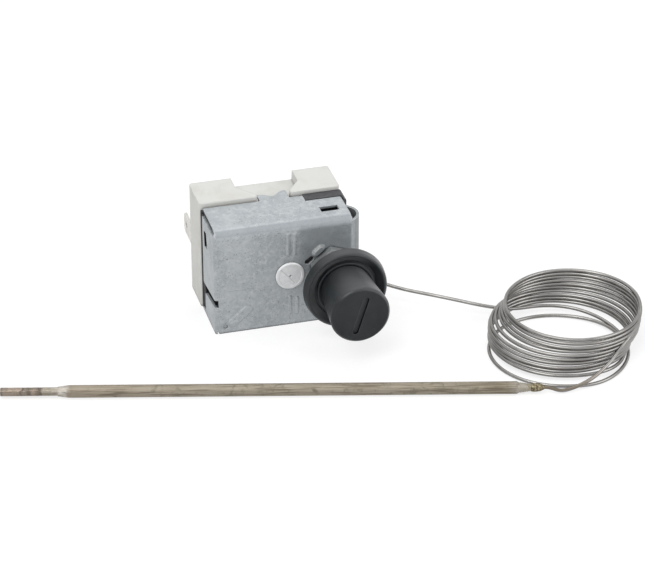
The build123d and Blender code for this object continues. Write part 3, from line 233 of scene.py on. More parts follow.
where = between(rubs, noise(rubs, millimetres(rubs), 0.11, 2.0), 0.42, 0.60)
share = product(rubs, where, entry.outputs["Amount"])
rubs.links.new(product(rubs, lines, share), leave.inputs["Mask"])


def rubbed(tree, length, width, amount):
    """Mask of rub marks."""
    return use(tree, rubs, Length=length, Width=width, Amount=amount).outputs["Mask"]


def metal_finish(name, dull, bright, rough, blotch, edge_radius=0.12, scratch=0.4, metallic=1.0):
    """Rolled or turned metal: cloudy between two colours, rubbed in lines, brighter on its edges."""
    finish, tree, shader = new_finish(name, Metallic=metallic)
    edge = use(tree, soft_edge, Radius=edge_radius)
    cloud = stained(tree, blotch, 0.22, 0.16)
    worn = tuple(min(1.0, WORN_BRIGHTER * part) for part in bright)
    colour = blend_colours(tree, cloud, dull, bright)
    colour = blend_colours(tree, rubbed(tree, 5.0, 0.09, scratch), colour, worn)
    colour = blend_colours(tree, edge.outputs["Edge"], colour, worn)
    tree.links.new(colour, shader.inputs["Base Color"])
    tree.links.new(between(tree, cloud, 0.0, 1.0, rough[0], rough[1]), shader.inputs["Roughness"])
    grain_height = use(tree, grain, Size=METAL_GRAIN_SIZE).outputs["Height"]
    relief(tree, shader, grain_height, METAL_GRAIN_DEPTH, edge)
    return finish


tinned = metal_finish("tinned_brass", TIN_DULL, TIN_BRIGHT, (0.42, 0.30), 3.0)
dress(tinned, "terminal_left", "terminal_right")
brass = metal_finish("bare_brass", BRASS_DULL, BRASS_BRIGHT, (0.42, 0.28), 2.0)
dress(brass, "terminal_rivets", "contact_strip", "contact_rocker")

# Switch: silver contacts on a brass strip and a rocker, hinged on a steel pin in a riveted bracket.
# A steel coil spring presses the contacts together, and the reset spring is of the same wire.
# All of it sits inside, behind the cover.
SILVER_DULL = (0.66, 0.65, 0.62)
SILVER_BRIGHT = (0.84, 0.83, 0.80)
WIRE_DULL = (0.30, 0.30, 0.31)
WIRE_BRIGHT = (0.52, 0.52, 0.53)
silver = metal_finish("contact_silver", SILVER_DULL, SILVER_BRIGHT, (0.30, 0.18), 1.2, 0.08)
dress(silver, "fixed_contact", "moving_contact")
spring_wire = metal_finish("spring_wire", WIRE_DULL, WIRE_BRIGHT, (0.36, 0.24), 1.0, 0.05)
dress(spring_wire, "contact_spring", "reset_spring")

# Guide plate, chassis, bracket, clip and screws: steel, stamped, bent and screwed together.
# The small parts are plated bluish and even; the chassis is painted dark grey and the plate nearly black, as
# painted shade where they show through the gaps.
PLATED_DULL = (0.46, 0.48, 0.50)
PLATED_BRIGHT = (0.60, 0.62, 0.64)
PLATE_SHADE_DARK = (0.060, 0.060, 0.063)
PLATE_SHADE_PALE = (0.10, 0.10, 0.105)
CHASSIS_SHADE_DARK = (0.16, 0.165, 0.17)
CHASSIS_SHADE_PALE = (0.22, 0.225, 0.23)
plated = metal_finish("bright_zinc", PLATED_DULL, PLATED_BRIGHT, (0.40, 0.28), 4.0)
dress(plated, "pivot_bracket", "pivot_pin", "rod_clip", "assembly_screws", "calibration_screw")
# Guide plate nearly black: painted shade
plate_shade = metal_finish("guide_plate_painted_shade", PLATE_SHADE_DARK, PLATE_SHADE_PALE, (0.62, 0.48), 4.0, metallic=0.6)
dress(plate_shade, "guide_plate")
# Chassis dark grey: painted shade
chassis_shade = metal_finish("chassis_shade", CHASSIS_SHADE_DARK, CHASSIS_SHADE_PALE, (0.52, 0.40), 4.0, metallic=0.6)
dress(chassis_shade, "chassis")

# Insulating sheet: dark pressed board between ceramic and cover, creased over at the top right.
# It is matt and faintly fibrous, and paler where it is cut and folded.
BOARD_DARK = (0.034, 0.034, 0.037)
BOARD_PALE = (0.072, 0.072, 0.078)
BOARD_EDGE = (0.16, 0.16, 0.17)
board, tree, shader = new_finish("insulating_board", Roughness=0.62, Specular_IOR_Level=0.4)
edge = use(tree, soft_edge, Radius=0.25)
fibres = noise(tree, millimetres(tree, (0.6, 4.0, 4.0)), 1.0, 5.0)
charcoal = blend_colours(tree, between(tree, fibres, 0.35, 0.65), BOARD_DARK, BOARD_PALE)
charcoal = blend_colours(tree, edge.outputs["Edge"], charcoal, BOARD_EDGE)
tree.links.new(charcoal, shader.inputs["Base Color"])
relief(tree, shader, fibres, 0.03, edge)
dress(board, "insulating_sheet")

# Pressure capsule, ferrule and transmission pin: stainless discs welded at the rim, and a ground ceramic pin.
# The steel is clouded with a faint straw tint from the welding, and the pin is cream.
STAINLESS_TINTED = (0.46, 0.43, 0.37)
STAINLESS_BARE = (0.62, 0.61, 0.59)
PIN_CREAM = (0.80, 0.77, 0.70)
PIN_PALE = (0.88, 0.86, 0.81)
stainless = metal_finish("tinted_stainless", STAINLESS_TINTED, STAINLESS_BARE, (0.34, 0.22), 3.5)
dress(stainless, "pressure_capsule", "capillary_ferrule")
ground_ceramic, tree, shader = new_finish("ground_ceramic", Roughness=0.45)
cream = blend_colours(tree, stained(tree, 1.2, 0.3, 0.1), PIN_CREAM, PIN_PALE)
tree.links.new(cream, shader.inputs["Base Color"])
relief(tree, shader, use(tree, grain, Size=0.12).outputs["Height"], 0.01, use(tree, soft_edge, Radius=0.1))
dress(ground_ceramic, "transmission_pin")

# Reset button and rod: a red moulded button pressed on a drawn steel rod that slides in the bush.
# The moulding is glossy, with a faint flow grain, and the rod is bright and rubbed in lines.
RED_DEEP = (0.36, 0.018, 0.014)
RED_BRIGHT = (0.46, 0.03, 0.022)
ROD_DULL = (0.55, 0.55, 0.54)
ROD_BRIGHT = (0.70, 0.70, 0.69)
red, tree, shader = new_finish("red_moulding", Roughness=0.34, Coat_Weight=0.15)
flow = blend_colours(tree, stained(tree, 2.0, 0.3, 0.2), RED_DEEP, RED_BRIGHT)
tree.links.new(flow, shader.inputs["Base Color"])
relief(tree, shader, use(tree, grain, Size=0.3).outputs["Height"], 0.015, use(tree, soft_edge, Radius=0.2))
dress(red, "reset_button")
rod_steel = metal_finish("drawn_rod", ROD_DULL, ROD_BRIGHT, (0.26, 0.18), 2.0, 0.1, 0.7)
dress(rod_steel, "reset_rod")

# Bush: turned steel with a metric thread of 1 mm pitch, nickel-plated, riveted into the chassis.
# The thread is cut as a real helix, and its edges carry the wear from the nuts.
RESET_AXIS = Vector((15.6, -23.85, 17.3)) * MM
FORWARD = Vector((0, -1, 0))
BUSH_RADIUS = 5.0
BUSH_SEGMENTS = 72
THREAD_PITCH = 1.0
THREAD_DEPTH = 0.55
THREAD_FROM = 2.9
THREAD_TO = 19.6
THREAD_RING = 0.125
THREAD_RUN_OUT = 0.8
THREAD_PLAY = 0.02
FLANK_SLOPE = 1.25
CREST_WIDTH = 0.12
NICKEL_DULL = (0.34, 0.335, 0.32)
NICKEL_BRIGHT = (0.48, 0.475, 0.45)


def turned_piece(name, outline, origin, along, segments, shape):
    """Mesh turned round an axis from (radius, distance) points in millimetres; shape bends each radius."""
    along = along.normalized()
    side = along.orthogonal().normalized()
    other = along.cross(side)
    points = []
    faces = []
    for radius, distance in outline:
        for step in range(segments):
            angle = 2 * math.pi * step / segments
            ring = side * math.cos(angle) + other * math.sin(angle)
            points.append(origin + (along * distance + ring * shape(radius, distance, angle)) * MM)
    for row in range(len(outline) - 1):
        for step in range(segments):
            beside = (step + 1) % segments
            below = row * segments
            above = below + segments
            faces.append((below + step, below + beside, above + beside, above + step))
    last = (len(outline) - 1) * segments
    if outline[0] == outline[-1]:
        points = points[:last]
        faces = [tuple(corner % last for corner in face) for face in faces]
    else:
        faces.append(tuple(reversed(range(segments))))
        faces.append(tuple(range(last, last + segments)))
    mesh = bpy.data.meshes.new(name)
    mesh.from_pydata(points, [], faces)
    mesh.update()
    piece = bpy.data.objects.new(name, mesh)
    bpy.context.scene.collection.objects.link(piece)
    for face in mesh.polygons:
        face.use_smooth = len(face.vertices) == 4
    return piece


def thread_form(radius, distance, angle):
    """Radius on the thread: a rounded ridge that climbs one pitch each turn and runs out at its ends."""
    if radius != BUSH_RADIUS or not THREAD_FROM < distance < THREAD_TO:
        return radius
    phase = (distance / THREAD_PITCH - angle / (2 * math.pi)) % 1.0
    ridge = abs(2 * phase - 1)
    run_out = min(1.0, (distance - THREAD_FROM) / THREAD_RUN_OUT, (THREAD_TO - distance) / THREAD_RUN_OUT)
    cut = min(1.0, max(0.0, FLANK_SLOPE * (1 - ridge) - CREST_WIDTH))
    return radius - THREAD_PLAY - THREAD_DEPTH * run_out * cut


# Rivet end and collar at the back, the thread, then the chamfer and the bore with the rod's hole
thread_rings = int((THREAD_TO - THREAD_FROM) / THREAD_RING) + 1
bush_outline = [
    (1.55, -3.28), (5.9, -3.28), (5.9, -2.68), (BUSH_RADIUS, -2.68), (BUSH_RADIUS, -1.62),
    (6.9, -1.62), (6.9, -0.83), (BUSH_RADIUS, -0.83),
    *((BUSH_RADIUS, THREAD_FROM + THREAD_RING * ring) for ring in range(thread_rings)),
    (BUSH_RADIUS, 20.0), (4.55, 20.45), (4.4, 20.5), (3.5, 20.5), (3.35, 20.35), (3.35, 4.0),
    (1.55, 4.0), (1.55, -3.28),
]
threaded_bush = turned_piece("threaded_bush", bush_outline, RESET_AXIS, FORWARD, BUSH_SEGMENTS, thread_form)
nickel = metal_finish("nickel_plate", NICKEL_DULL, NICKEL_BRIGHT, (0.38, 0.26), 2.5, 0.05)
threaded_bush.data.materials.append(nickel)
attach(threaded_bush, "housing")
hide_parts("bush")

# Cover: one sheet of galvanised steel, punched, stamped with beads and folded round the chassis.
# Its zinc skin is clouded and lightly scratched from handling, with bare bright metal on sheared edges;
# painted shade darkens its bend, right flap, corners, gap walls and lug top, and a painted reflection of the
# bezel darkens its front.
ZINC = (0.345, 0.373, 0.392)
ZINC_CLOUD = (0.435, 0.462, 0.478)
ZINC_BLOTCH = (0.49, 0.512, 0.525)
ZINC_BARE = (0.52, 0.535, 0.545)
ZINC_SCRATCH = (0.31, 0.33, 0.345)
BEND_PAINTED_SHADE = (0.25, 0.272, 0.29)
FIELD_PAINTED_REFLECTION = (0.27, 0.30, 0.32)
FLAP_PAINTED_SHADE = (0.17, 0.18, 0.18)
PIT_GREY = (0.25, 0.265, 0.275)
LUG_PAINTED_SHADE = (0.20, 0.205, 0.20)
COVER_PAINTED_SHADE = (0.025, 0.027, 0.03)
WALL_PAINTED_SHADE = (0.012, 0.013, 0.014)
BEND_FACES = (0.0, -0.707, 0.707)
LUG_MIDDLE = (10.6, -24.4, 24.4)
galvanised, tree, shader = new_finish("galvanised_sheet", Metallic=0.6)
edge = use(tree, soft_edge, Radius=0.3)
blotches = stained(tree, 1.6, 0.16, 0.12)
zinc = blend_colours(tree, stained(tree, 11.0, 0.2, 0.18), ZINC, ZINC_CLOUD)
zinc = blend_colours(tree, blotches, zinc, ZINC_BLOTCH)
zinc = blend_colours(tree, rubbed(tree, 9.0, 0.7, 0.5), zinc, ZINC_BARE)
zinc = blend_colours(tree, rubbed(tree, 7.0, 0.1, 0.75), zinc, ZINC_SCRATCH)
# The wide bend is specked and darkened as painted shade, and the front between the beads and the bush is
# darkened as a painted reflection of the bezel
normal = place(tree, "ShaderNodeNewGeometry").outputs["Normal"]
spot = place(tree, "ShaderNodeSeparateXYZ", {0: millimetres(tree)}).outputs
bend = between(tree, pointing(tree, normal, BEND_FACES), 0.86, 0.97, 0.0, 0.7)
zinc = blend_colours(tree, bend, zinc, BEND_PAINTED_SHADE)
field = product(
    tree,
    between(tree, pointing(tree, normal, tuple(FORWARD)), 0.85, 0.97, 0.0, 0.6),
    between(tree, spot["X"], 4.2, 5.6),
    between(tree, spot["Z"], 15.0, 21.0),
)
zinc = blend_colours(tree, field, zinc, FIELD_PAINTED_REFLECTION)
# The curved flap on the right is darkened: painted shade
zinc = blend_colours(tree, between(tree, spot["X"], 21.6, 22.4, 0.0, 0.5), zinc, FLAP_PAINTED_SHADE)
where = calculate(tree, "MAXIMUM", stained(tree, 8.0, 0.27, 0.12), bend)
zinc = blend_colours(tree, product(tree, stained(tree, 0.4, 0.13, 0.05), where), zinc, PIT_GREY)
zinc = blend_colours(tree, edge.outputs["Edge"], zinc, ZINC_BARE)
# Corners and gaps are darkened: painted shade
zinc = blend_colours(tree, use(tree, hollows, Reach=1.1).outputs["Mask"], zinc, COVER_PAINTED_SHADE)
# The sheared walls of the window, the slot and the open seam at the left are painted black: painted shade
tilt = place(tree, "ShaderNodeSeparateXYZ", {0: normal}).outputs
wall = between(tree, tilt["Y"], -0.45, -0.7)
seam = product(
    tree,
    between(tree, tilt["Z"], 0.8, 0.6),
    between(tree, spot["X"], -21.48, -21.42),
    between(tree, spot["Z"], 27.0, 28.0),
)
shaded_walls = product(
    tree,
    calculate(tree, "MAXIMUM", wall, seam),
    between(tree, spot["X"], -20.2, -20.6),
    between(tree, spot["Y"], -20.7, -20.2),
)
zinc = blend_colours(tree, shaded_walls, zinc, WALL_PAINTED_SHADE)
# The raised lug beside the nut is darkened on top: painted shade
from_lug = place(tree, "ShaderNodeVectorMath", {0: millimetres(tree), 1: LUG_MIDDLE}, operation="DISTANCE")
near_lug = between(tree, from_lug.outputs["Value"], 3.4, 2.9, 0.0, 0.75)
lug_top_shade = product(tree, near_lug, between(tree, tilt["Z"], 0.15, 0.5))
zinc = blend_colours(tree, lug_top_shade, zinc, LUG_PAINTED_SHADE)
tree.links.new(zinc, shader.inputs["Base Color"])
tree.links.new(between(tree, blotches, 0.0, 1.0, 0.52, 0.64), shader.inputs["Roughness"])
relief(tree, shader, use(tree, grain, Size=0.5).outputs["Height"], 0.02, edge)
dress(galvanised, "cover")

# Calibration plug: a grey disc pressed into the cover over the calibration screw.
# Its grey is slightly mottled and paler along its edges, over a fine moulded skin.
PLUG_GREY = (0.74, 0.75, 0.76)
PLUG_PALE = (0.82, 0.83, 0.84)
PLUG_EDGE = (0.86, 0.87, 0.88)
sealing, tree, shader = new_finish("sealing_plug", Roughness=0.5, Metallic=0.25)
edge = use(tree, soft_edge, Radius=0.15)
grey = blend_colours(tree, stained(tree, 1.5, 0.2, 0.15), PLUG_GREY, PLUG_PALE)
grey = blend_colours(tree, edge.outputs["Edge"], grey, PLUG_EDGE)
tree.links.new(grey, shader.inputs["Base Color"])
relief(tree, shader, use(tree, grain, Size=0.2).outputs["Height"], 0.02, edge)
dress(sealing, "calibration_plug")

# Panel nut: a thin turned and milled steel nut that clamps the cover on the bush.
# Its plating has dulled to a dark grey, rubbed brighter at the corners by the spanner.
NUT_DULL = (0.20, 0.21, 0.215)
NUT_BRIGHT = (0.28, 0.29, 0.295)
nut_plate = metal_finish("nut_nickel", NUT_DULL, NUT_BRIGHT, (0.62, 0.52), 3.0, 0.25, 0.3, metallic=0.35)
dress(nut_plate, "panel_nut")

# Bezel nut and screw cap: black thermoset mouldings, screwed on the bush by hand and by a coin.
# The skin is satin with a fine moulded grain and some dust, with painted highlights on its edges, flanks and
# rims, painted light in its dish and slot floor, and painted shade on the slot walls.
BLACK = (0.011, 0.0135, 0.0155)
BLACK_CLOUD = (0.0165, 0.0195, 0.0215)
BLACK_SCRATCH = (0.040, 0.043, 0.046)
BLACK_EDGE_HIGHLIGHT = (0.075, 0.078, 0.082)
DUST = (0.16, 0.16, 0.155)
UPPER_PAINTED_HIGHLIGHT = (0.060, 0.062, 0.066)
RIGHT_PAINTED_HIGHLIGHT = (0.115, 0.115, 0.12)
DISH_PAINTED_LIGHT = (0.036, 0.041, 0.045)
RIM_PAINTED_HIGHLIGHT = (0.12, 0.122, 0.126)
SLOT_WALL_PAINTED_SHADE = (0.001, 0.001, 0.002)
SLOT_FLOOR_PAINTED_LIGHT = (0.043, 0.047, 0.052)
UPPER_FLANK = (0.25, 0.0, 0.97)
RIGHT_FLANK = (0.9, 0.0, 0.43)
LOWER_RIGHT = (0.75, 0.0, -0.66)
SLOT_MIDDLE = (15.6, -52.0, 17.3)
black, tree, shader = new_finish("black_moulding", Specular_IOR_Level=0.33)
edge = use(tree, soft_edge, Radius=0.3)
cloud = stained(tree, 6.0, 0.25, 0.2)
skin = blend_colours(tree, cloud, BLACK, BLACK_CLOUD)
skin = blend_colours(tree, rubbed(tree, 4.0, 0.08, 0.5), skin, BLACK_SCRATCH)
# Edges are painted paler: a painted highlight
skin = blend_colours(tree, edge.outputs["Edge"], skin, BLACK_EDGE_HIGHLIGHT)
skin = blend_colours(tree, stained(tree, 0.7, 0.0, 0.012), skin, DUST)
# The upper and right flanks are painted paler: painted highlights
normal = place(tree, "ShaderNodeNewGeometry").outputs["Normal"]
spot = place(tree, "ShaderNodeSeparateXYZ", {0: millimetres(tree)}).outputs
upward = between(tree, pointing(tree, normal, UPPER_FLANK), 0.3, 1.0, 0.0, 0.8)
skin = blend_colours(tree, upward, skin, UPPER_PAINTED_HIGHLIGHT)
rightward = between(tree, pointing(tree, normal, RIGHT_FLANK), 0.60, 0.95, 0.0, 0.9)
skin = blend_colours(tree, rightward, skin, RIGHT_PAINTED_HIGHLIGHT)
# The bezel's dish and the floor of the coin slot are painted paler, as painted light, and the slot's walls
# black, as painted shade
outward = pointing(tree, normal, tuple(FORWARD))
faces_front = between(tree, outward, 0.8, 0.95)
dish = product(tree, faces_front, between(tree, spot["Y"], -46.0, -45.0))
skin = blend_colours(tree, dish, skin, DISH_PAINTED_LIGHT)
# The rounded rims and slopes that look down to the right are painted palest: a painted highlight
rim = product(
    tree,
    between(tree, outward, 0.10, 0.35, 0.0, 0.85),
    between(tree, outward, 0.96, 0.80),
    between(tree, pointing(tree, normal, LOWER_RIGHT), -0.15, 0.3),
)
skin = blend_colours(tree, rim, skin, RIM_PAINTED_HIGHLIGHT)
# Coin slot: floor painted paler as painted light, walls painted black as painted shade
from_slot = place(tree, "ShaderNodeVectorMath", {0: millimetres(tree), 1: SLOT_MIDDLE}, operation="DISTANCE")
near_slot = between(tree, from_slot.outputs["Value"], 7.4, 6.9)
in_slot = product(tree, near_slot, between(tree, spot["Y"], -52.42, -52.35))
skin = blend_colours(tree, in_slot, skin, blend_colours(tree, faces_front, SLOT_WALL_PAINTED_SHADE, SLOT_FLOOR_PAINTED_LIGHT))
tree.links.new(skin, shader.inputs["Base Color"])
tree.links.new(between(tree, cloud, 0.0, 1.0, 0.34, 0.44), shader.inputs["Roughness"])
relief(tree, shader, use(tree, grain, Size=0.16).outputs["Height"], 0.012, edge)
dress(black, "bezel_nut", "reset_cap")

# Capillary: one drawn stainless tube of 1.1 mm, from the ferrule over the wound coil to the bulb.
# It is bent by hand, so the turns fan out, the lowest lies loose and the end comes down outside.
CAPILLARY = 1.1
COIL_CENTRE = (74.2, -60.3)
COIL_TURN = math.radians(-15.46)
LOOP_RADIUS = 20.65
LOOP_DEPTH = 20.1
LOOP_HEIGHT = 0.57
POINTS_PER_TURN = 16
TUBE_GREY = (0.215, 0.208, 0.20)
TUBE_CLOUD = (0.285, 0.278, 0.268)
TUBE_BROWNED = (0.17, 0.14, 0.105)
lead_route = [
    (25.5, -17.0, 7.0), (30.1, -17.0, 7.0), (37.0, -22.3, 5.9), (44.6, -26.5, 5.2),
    (52.0, -31.0, 4.6), (58.8, -34.9, 3.8), (65.0, -37.2, 3.0),
]
tail_route = [
    (93.1, -70.2, 7.9), (89.9, -72.4, 6.8), (87.2, -75.0, 5.9), (84.2, -77.6, 5.0), (80.2, -80.0, 3.7),
    (76.0, -81.8, 2.5), (70.9, -82.4, 1.2), (67.3, -82.3, 0.8), (64.52, -80.94, 1.85), (62.97, -80.54, 1.85),
]
# Ten turns lie on each other above the floor loop. Each leans further back and is a little smaller,
# and the middle ones bulge to the sides.
STACKED_TURNS = 10
FULL_TURN = 360
FIRST_NEAR_ANGLE = 630
FIRST_FAR_ANGLE = 810
FIRST_HEIGHT = 1.75
TURN_RISE = 0.95
NEAR_SIDE = -16.6
NEAR_STEP = 0.666
FAR_SIDE = 25.9
FAR_STEP = 0.477
WANDER = 0.14
BULGE = 1.15
BULGE_TURN = 4
BULGE_SPREAD = 2.2
LEAST_SHIFT = 0.9
MORE_SHIFT = 4.0
SHIFT_TURN = 4.6
SHIFT_SPREAD = 1.1
# Angle round the coil from its left side, then shift right, shift away, half depth, half width and height
coil_keys = [
    (60, 0.0, 2.0, 21.6, 21.6, 2.4),
    (90, 0.0, 2.0, 21.5, 21.5, 2.1),
    (180, 0.2, 0.5, 21.1, 21.4, 0.75),
    (240, 0.2, -0.7, 20.7, 21.2, 0.6),
    (270, 0.0, -0.1, LOOP_DEPTH, LOOP_RADIUS, LOOP_HEIGHT),
    (450, 0.0, 0.05, LOOP_DEPTH, LOOP_RADIUS, LOOP_HEIGHT),
    (540, -0.1, 1.2, 21.0, 20.5, 1.3),
]
for turn in range(STACKED_TURNS):
    near = NEAR_SIDE + NEAR_STEP * turn + WANDER * math.sin(2.4 * turn)
    far = FAR_SIDE + FAR_STEP * turn + WANDER * math.sin(1.9 * turn + 1)
    deep = (far - near) / 2
    wide = deep + BULGE * math.exp(-(((turn - BULGE_TURN) / BULGE_SPREAD) ** 2))
    right = LEAST_SHIFT + MORE_SHIFT / (1 + math.exp((SHIFT_TURN - turn) / SHIFT_SPREAD))
    height = FIRST_HEIGHT + TURN_RISE * turn
    coil_keys.append((FIRST_NEAR_ANGLE + FULL_TURN * turn, right, near + deep, deep, wide, height))
    half_up = height + TURN_RISE / 2
    coil_keys.append((FIRST_FAR_ANGLE + FULL_TURN * turn, right, far - deep, deep, wide, half_up))
# The end leaves the last turn at its right side and comes down towards the bulb
coil_keys.append((4140, 4.9, 10.6, 20.6, 20.6, 10.9))
coil_keys.append((4170, 4.8, 8.2, 20.9, 21.0, 9.2))


def coil_point(angle):
    """Point of the coil at that angle, eased between the keys on both sides."""
    for before, after in zip(coil_keys, coil_keys[1:]):
        if angle <= after[0]:
            break
    part = (angle - before[0]) / (after[0] - before[0])
    part = 0.5 - 0.5 * math.cos(math.pi * part)
    right, away, deep, wide, height = (a + (b - a) * part for a, b in zip(before[1:], after[1:]))
    right -= wide * math.cos(math.radians(angle))
    away += deep * math.sin(math.radians(angle))
    x = COIL_CENTRE[0] + right * math.cos(COIL_TURN) - away * math.sin(COIL_TURN)
    y = COIL_CENTRE[1] + right * math.sin(COIL_TURN) + away * math.cos(COIL_TURN)
    return (x, y, height)


step = FULL_TURN / POINTS_PER_TURN
coil_start = coil_keys[0][0]
coil_steps = int((coil_keys[-1][0] - coil_start) / step)
coil_route = [coil_point(coil_start + step * number) for number in range(coil_steps + 1)]
capillary_line = [Vector(point) * MM for point in lead_route + coil_route + tail_route]


def round_curve(name, points, diameter):
    """Round tube along one open spline with these control points."""
    curve = bpy.data.curves.new(name, "CURVE")
    curve.dimensions = "3D"
    spline = curve.splines.new("NURBS")
    spline.points.add(len(points) - 1)
    for control, point in zip(spline.points, points):
        control.co = (*point, 1.0)
    spline.order_u = 3
    spline.use_endpoint_u = True
    spline.resolution_u = 6
    curve.bevel_depth = diameter / 2
    curve.bevel_resolution = 3
    curve.use_fill_caps = True
    piece = bpy.data.objects.new(name, curve)
    bpy.context.scene.collection.objects.link(piece)
    return piece


capillary = round_curve("capillary", capillary_line, CAPILLARY * MM)
drawn, tree, shader = new_finish("drawn_stainless", Metallic=1.0, Roughness=0.30)
tube_grey = blend_colours(tree, stained(tree, 6.0, 0.22, 0.2), TUBE_GREY, TUBE_CLOUD)
# The brazing heat has browned the end of the tube beside the collar
source = place(tree, "ShaderNodeTexCoord").outputs["Object"]
tube_end = tuple(capillary_line[-1])
from_braze = place(tree, "ShaderNodeVectorMath", {0: source, 1: tube_end}, operation="DISTANCE")
spot = place(tree, "ShaderNodeSeparateXYZ", {0: millimetres(tree)}).outputs
browned = product(
    tree,
    between(tree, from_braze.outputs["Value"], 4 * MM, 26 * MM, 0.85, 0.0),
    between(tree, spot["Z"], 0.9, 1.3),
    between(tree, spot["Y"], -78.8, -79.4),
)
tube_grey = blend_colours(tree, browned, tube_grey, TUBE_BROWNED)
tree.links.new(tube_grey, shader.inputs["Base Color"])
capillary.data.materials.append(drawn)
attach(capillary, "housing")
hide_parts("capillary_lead", "capillary_coil", "capillary_tail")
dress(drawn, "capillary_inner")

# Bulb: a drawn stainless tube, swaged to a ribbed neck at the capillary and to a stub at the filling end.
# Welding and annealing tinted it straw to olive brown, with a pale band at the shoulder of the stub.
BULB_ANGLE = math.radians(-14.53)
TINT_DRIFT = 1.2
STREAK_STRAW = (0.34, 0.305, 0.245)
DRAG_BROWN = (0.11, 0.088, 0.06)
SOOT = (0.16, 0.14, 0.10)
bulb_along = Vector((math.cos(BULB_ANGLE), math.sin(BULB_ANGLE), 0))
bulb_end = Vector((55.23, -78.53, 1.85)) * MM


def tinted_steel(name, stops, rough, lengthwise=0.7):
    """Heat-tinted steel whose colour changes along the bulb's axis; stops are (millimetres, colour)."""
    finish, tree, shader = new_finish(name, Metallic=0.5)
    source = place(tree, "ShaderNodeTexCoord").outputs["Object"]
    moved = place(tree, "ShaderNodeVectorMath", {0: source, 1: tuple(bulb_end)}, operation="SUBTRACT")
    reach = pointing(tree, moved.outputs[0], tuple(bulb_along))
    wander = noise(tree, millimetres(tree), 0.35, 3.0)
    drift = between(tree, wander, 0.2, 0.8, -TINT_DRIFT * MM, TINT_DRIFT * MM)
    reach = calculate(tree, "ADD", reach, drift)
    low, high = stops[0][0], stops[-1][0]
    spread = place(tree, "ShaderNodeMapRange", {0: reach, 1: low * MM, 2: high * MM, 3: 0.0, 4: 1.0})
    ramp = place(tree, "ShaderNodeValToRGB", {0: spread.outputs[0]})
    while len(ramp.color_ramp.elements) < len(stops):
        ramp.color_ramp.elements.new(0.5)
    for element, (millimetre, colour) in zip(ramp.color_ramp.elements, stops):
        element.position = (millimetre - low) / (high - low)
        element.color = (*colour, 1.0)
    draw = noise(tree, millimetres(tree, (0.10, 2.2, 2.2), (0, 0, -BULB_ANGLE)), 1.0, 4.0)
    streaks = between(tree, draw, 0.38, 0.66, 0.0, lengthwise)
    colour = blend_colours(tree, streaks, ramp.outputs[0], STREAK_STRAW)
    colour = blend_colours(tree, between(tree, draw, 0.46, 0.34, 0.0, 0.7), colour, DRAG_BROWN)
    colour = blend_colours(tree, stained(tree, 3.0, 0.12, 0.10), colour, SOOT)
    tree.links.new(colour, shader.inputs["Base Color"])
    tree.links.new(between(tree, draw, 0.3, 0.7, rough[0], rough[1]), shader.inputs["Roughness"])
    relief(tree, shader, draw, 0.015)
    return finish


bulb_stops = [
    (-133.0, (0.42, 0.38, 0.335)),
    (-132.2, (0.56, 0.53, 0.49)),
    (-130.6, (0.54, 0.51, 0.47)),
    (-129.6, (0.245, 0.205, 0.155)),
    (-120.0, (0.25, 0.212, 0.16)),
    (-80.0, (0.235, 0.202, 0.153)),
    (-20.0, (0.22, 0.19, 0.143)),
    (-3.0, (0.205, 0.175, 0.125)),
    (-0.2, (0.26, 0.235, 0.20)),
    (0.4, (0.37, 0.345, 0.31)),
    (3.2, (0.35, 0.32, 0.27)),
    (4.0, (0.28, 0.24, 0.155)),
]
dress(tinted_steel("heat_tinted_tube", bulb_stops, (0.48, 0.60)), "bulb_tube")

# Filling stub: the thin end of the bulb's filling tube, pinched shut by three crimps and cut off flat.
# The pinching flattens it, and the sealing heat has left it brown with sooty lines in the crimps.
stub_stops = [
    (-149.6, (0.13, 0.10, 0.08)),
    (-149.0, (0.27, 0.215, 0.175)),
    (-144.0, (0.28, 0.22, 0.18)),
    (-143.2, (0.09, 0.07, 0.06)),
    (-142.2, (0.25, 0.20, 0.165)),
    (-141.2, (0.08, 0.06, 0.05)),
    (-140.4, (0.27, 0.215, 0.175)),
    (-138.3, (0.08, 0.06, 0.05)),
    (-137.4, (0.28, 0.245, 0.195)),
    (-134.5, (0.31, 0.28, 0.235)),
    (-133.0, (0.42, 0.38, 0.335)),
]
dress(tinted_steel("sooty_stub", stub_stops, (0.36, 0.50), 0.2), "fill_stub")

# Braze collar: hard solder run round the capillary where it enters the bulb's neck.
# It is a lumpy golden-olive bead, oxidised dark brown in its hollows.
COLLAR_SEGMENTS = 40
LUMP = 0.045
THIN_END = 0.7
BRAZE_DARK = (0.085, 0.068, 0.04)
BRAZE_GOLDEN = (0.31, 0.265, 0.165)
collar_outline = [
    (1.10, 4.0), (1.24, 4.15), (1.34, 4.5), (1.30, 5.1), (1.35, 5.6), (1.26, 6.2), (1.20, 6.7),
    (1.0, 7.2), (0.80, 7.6), (0.64, 8.0),
]


def lumpy(radius, distance, angle):
    """Radius of the bead, pushed in and out by slow waves round and along it."""
    wave = math.sin(3 * angle + 2.1 * distance) + math.sin(5 * angle - 3.3 * distance + 1.0)
    return radius - LUMP + LUMP * wave * min(1.0, max(0.0, radius - THIN_END))


collar = turned_piece("braze_bead", collar_outline, bulb_end, bulb_along, COLLAR_SEGMENTS, lumpy)
braze, tree, shader = new_finish("oxidised_braze", Metallic=0.7)
lumps = noise(tree, millimetres(tree), 1.6, 4.0, Roughness=0.6)
golden = blend_colours(tree, between(tree, lumps, 0.40, 0.62), BRAZE_DARK, BRAZE_GOLDEN)
tree.links.new(golden, shader.inputs["Base Color"])
tree.links.new(between(tree, lumps, 0.35, 0.65, 0.55, 0.34), shader.inputs["Roughness"])
relief(tree, shader, lumps, 0.12)
collar.data.materials.append(braze)
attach(collar, "housing")
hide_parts("braze_collar")

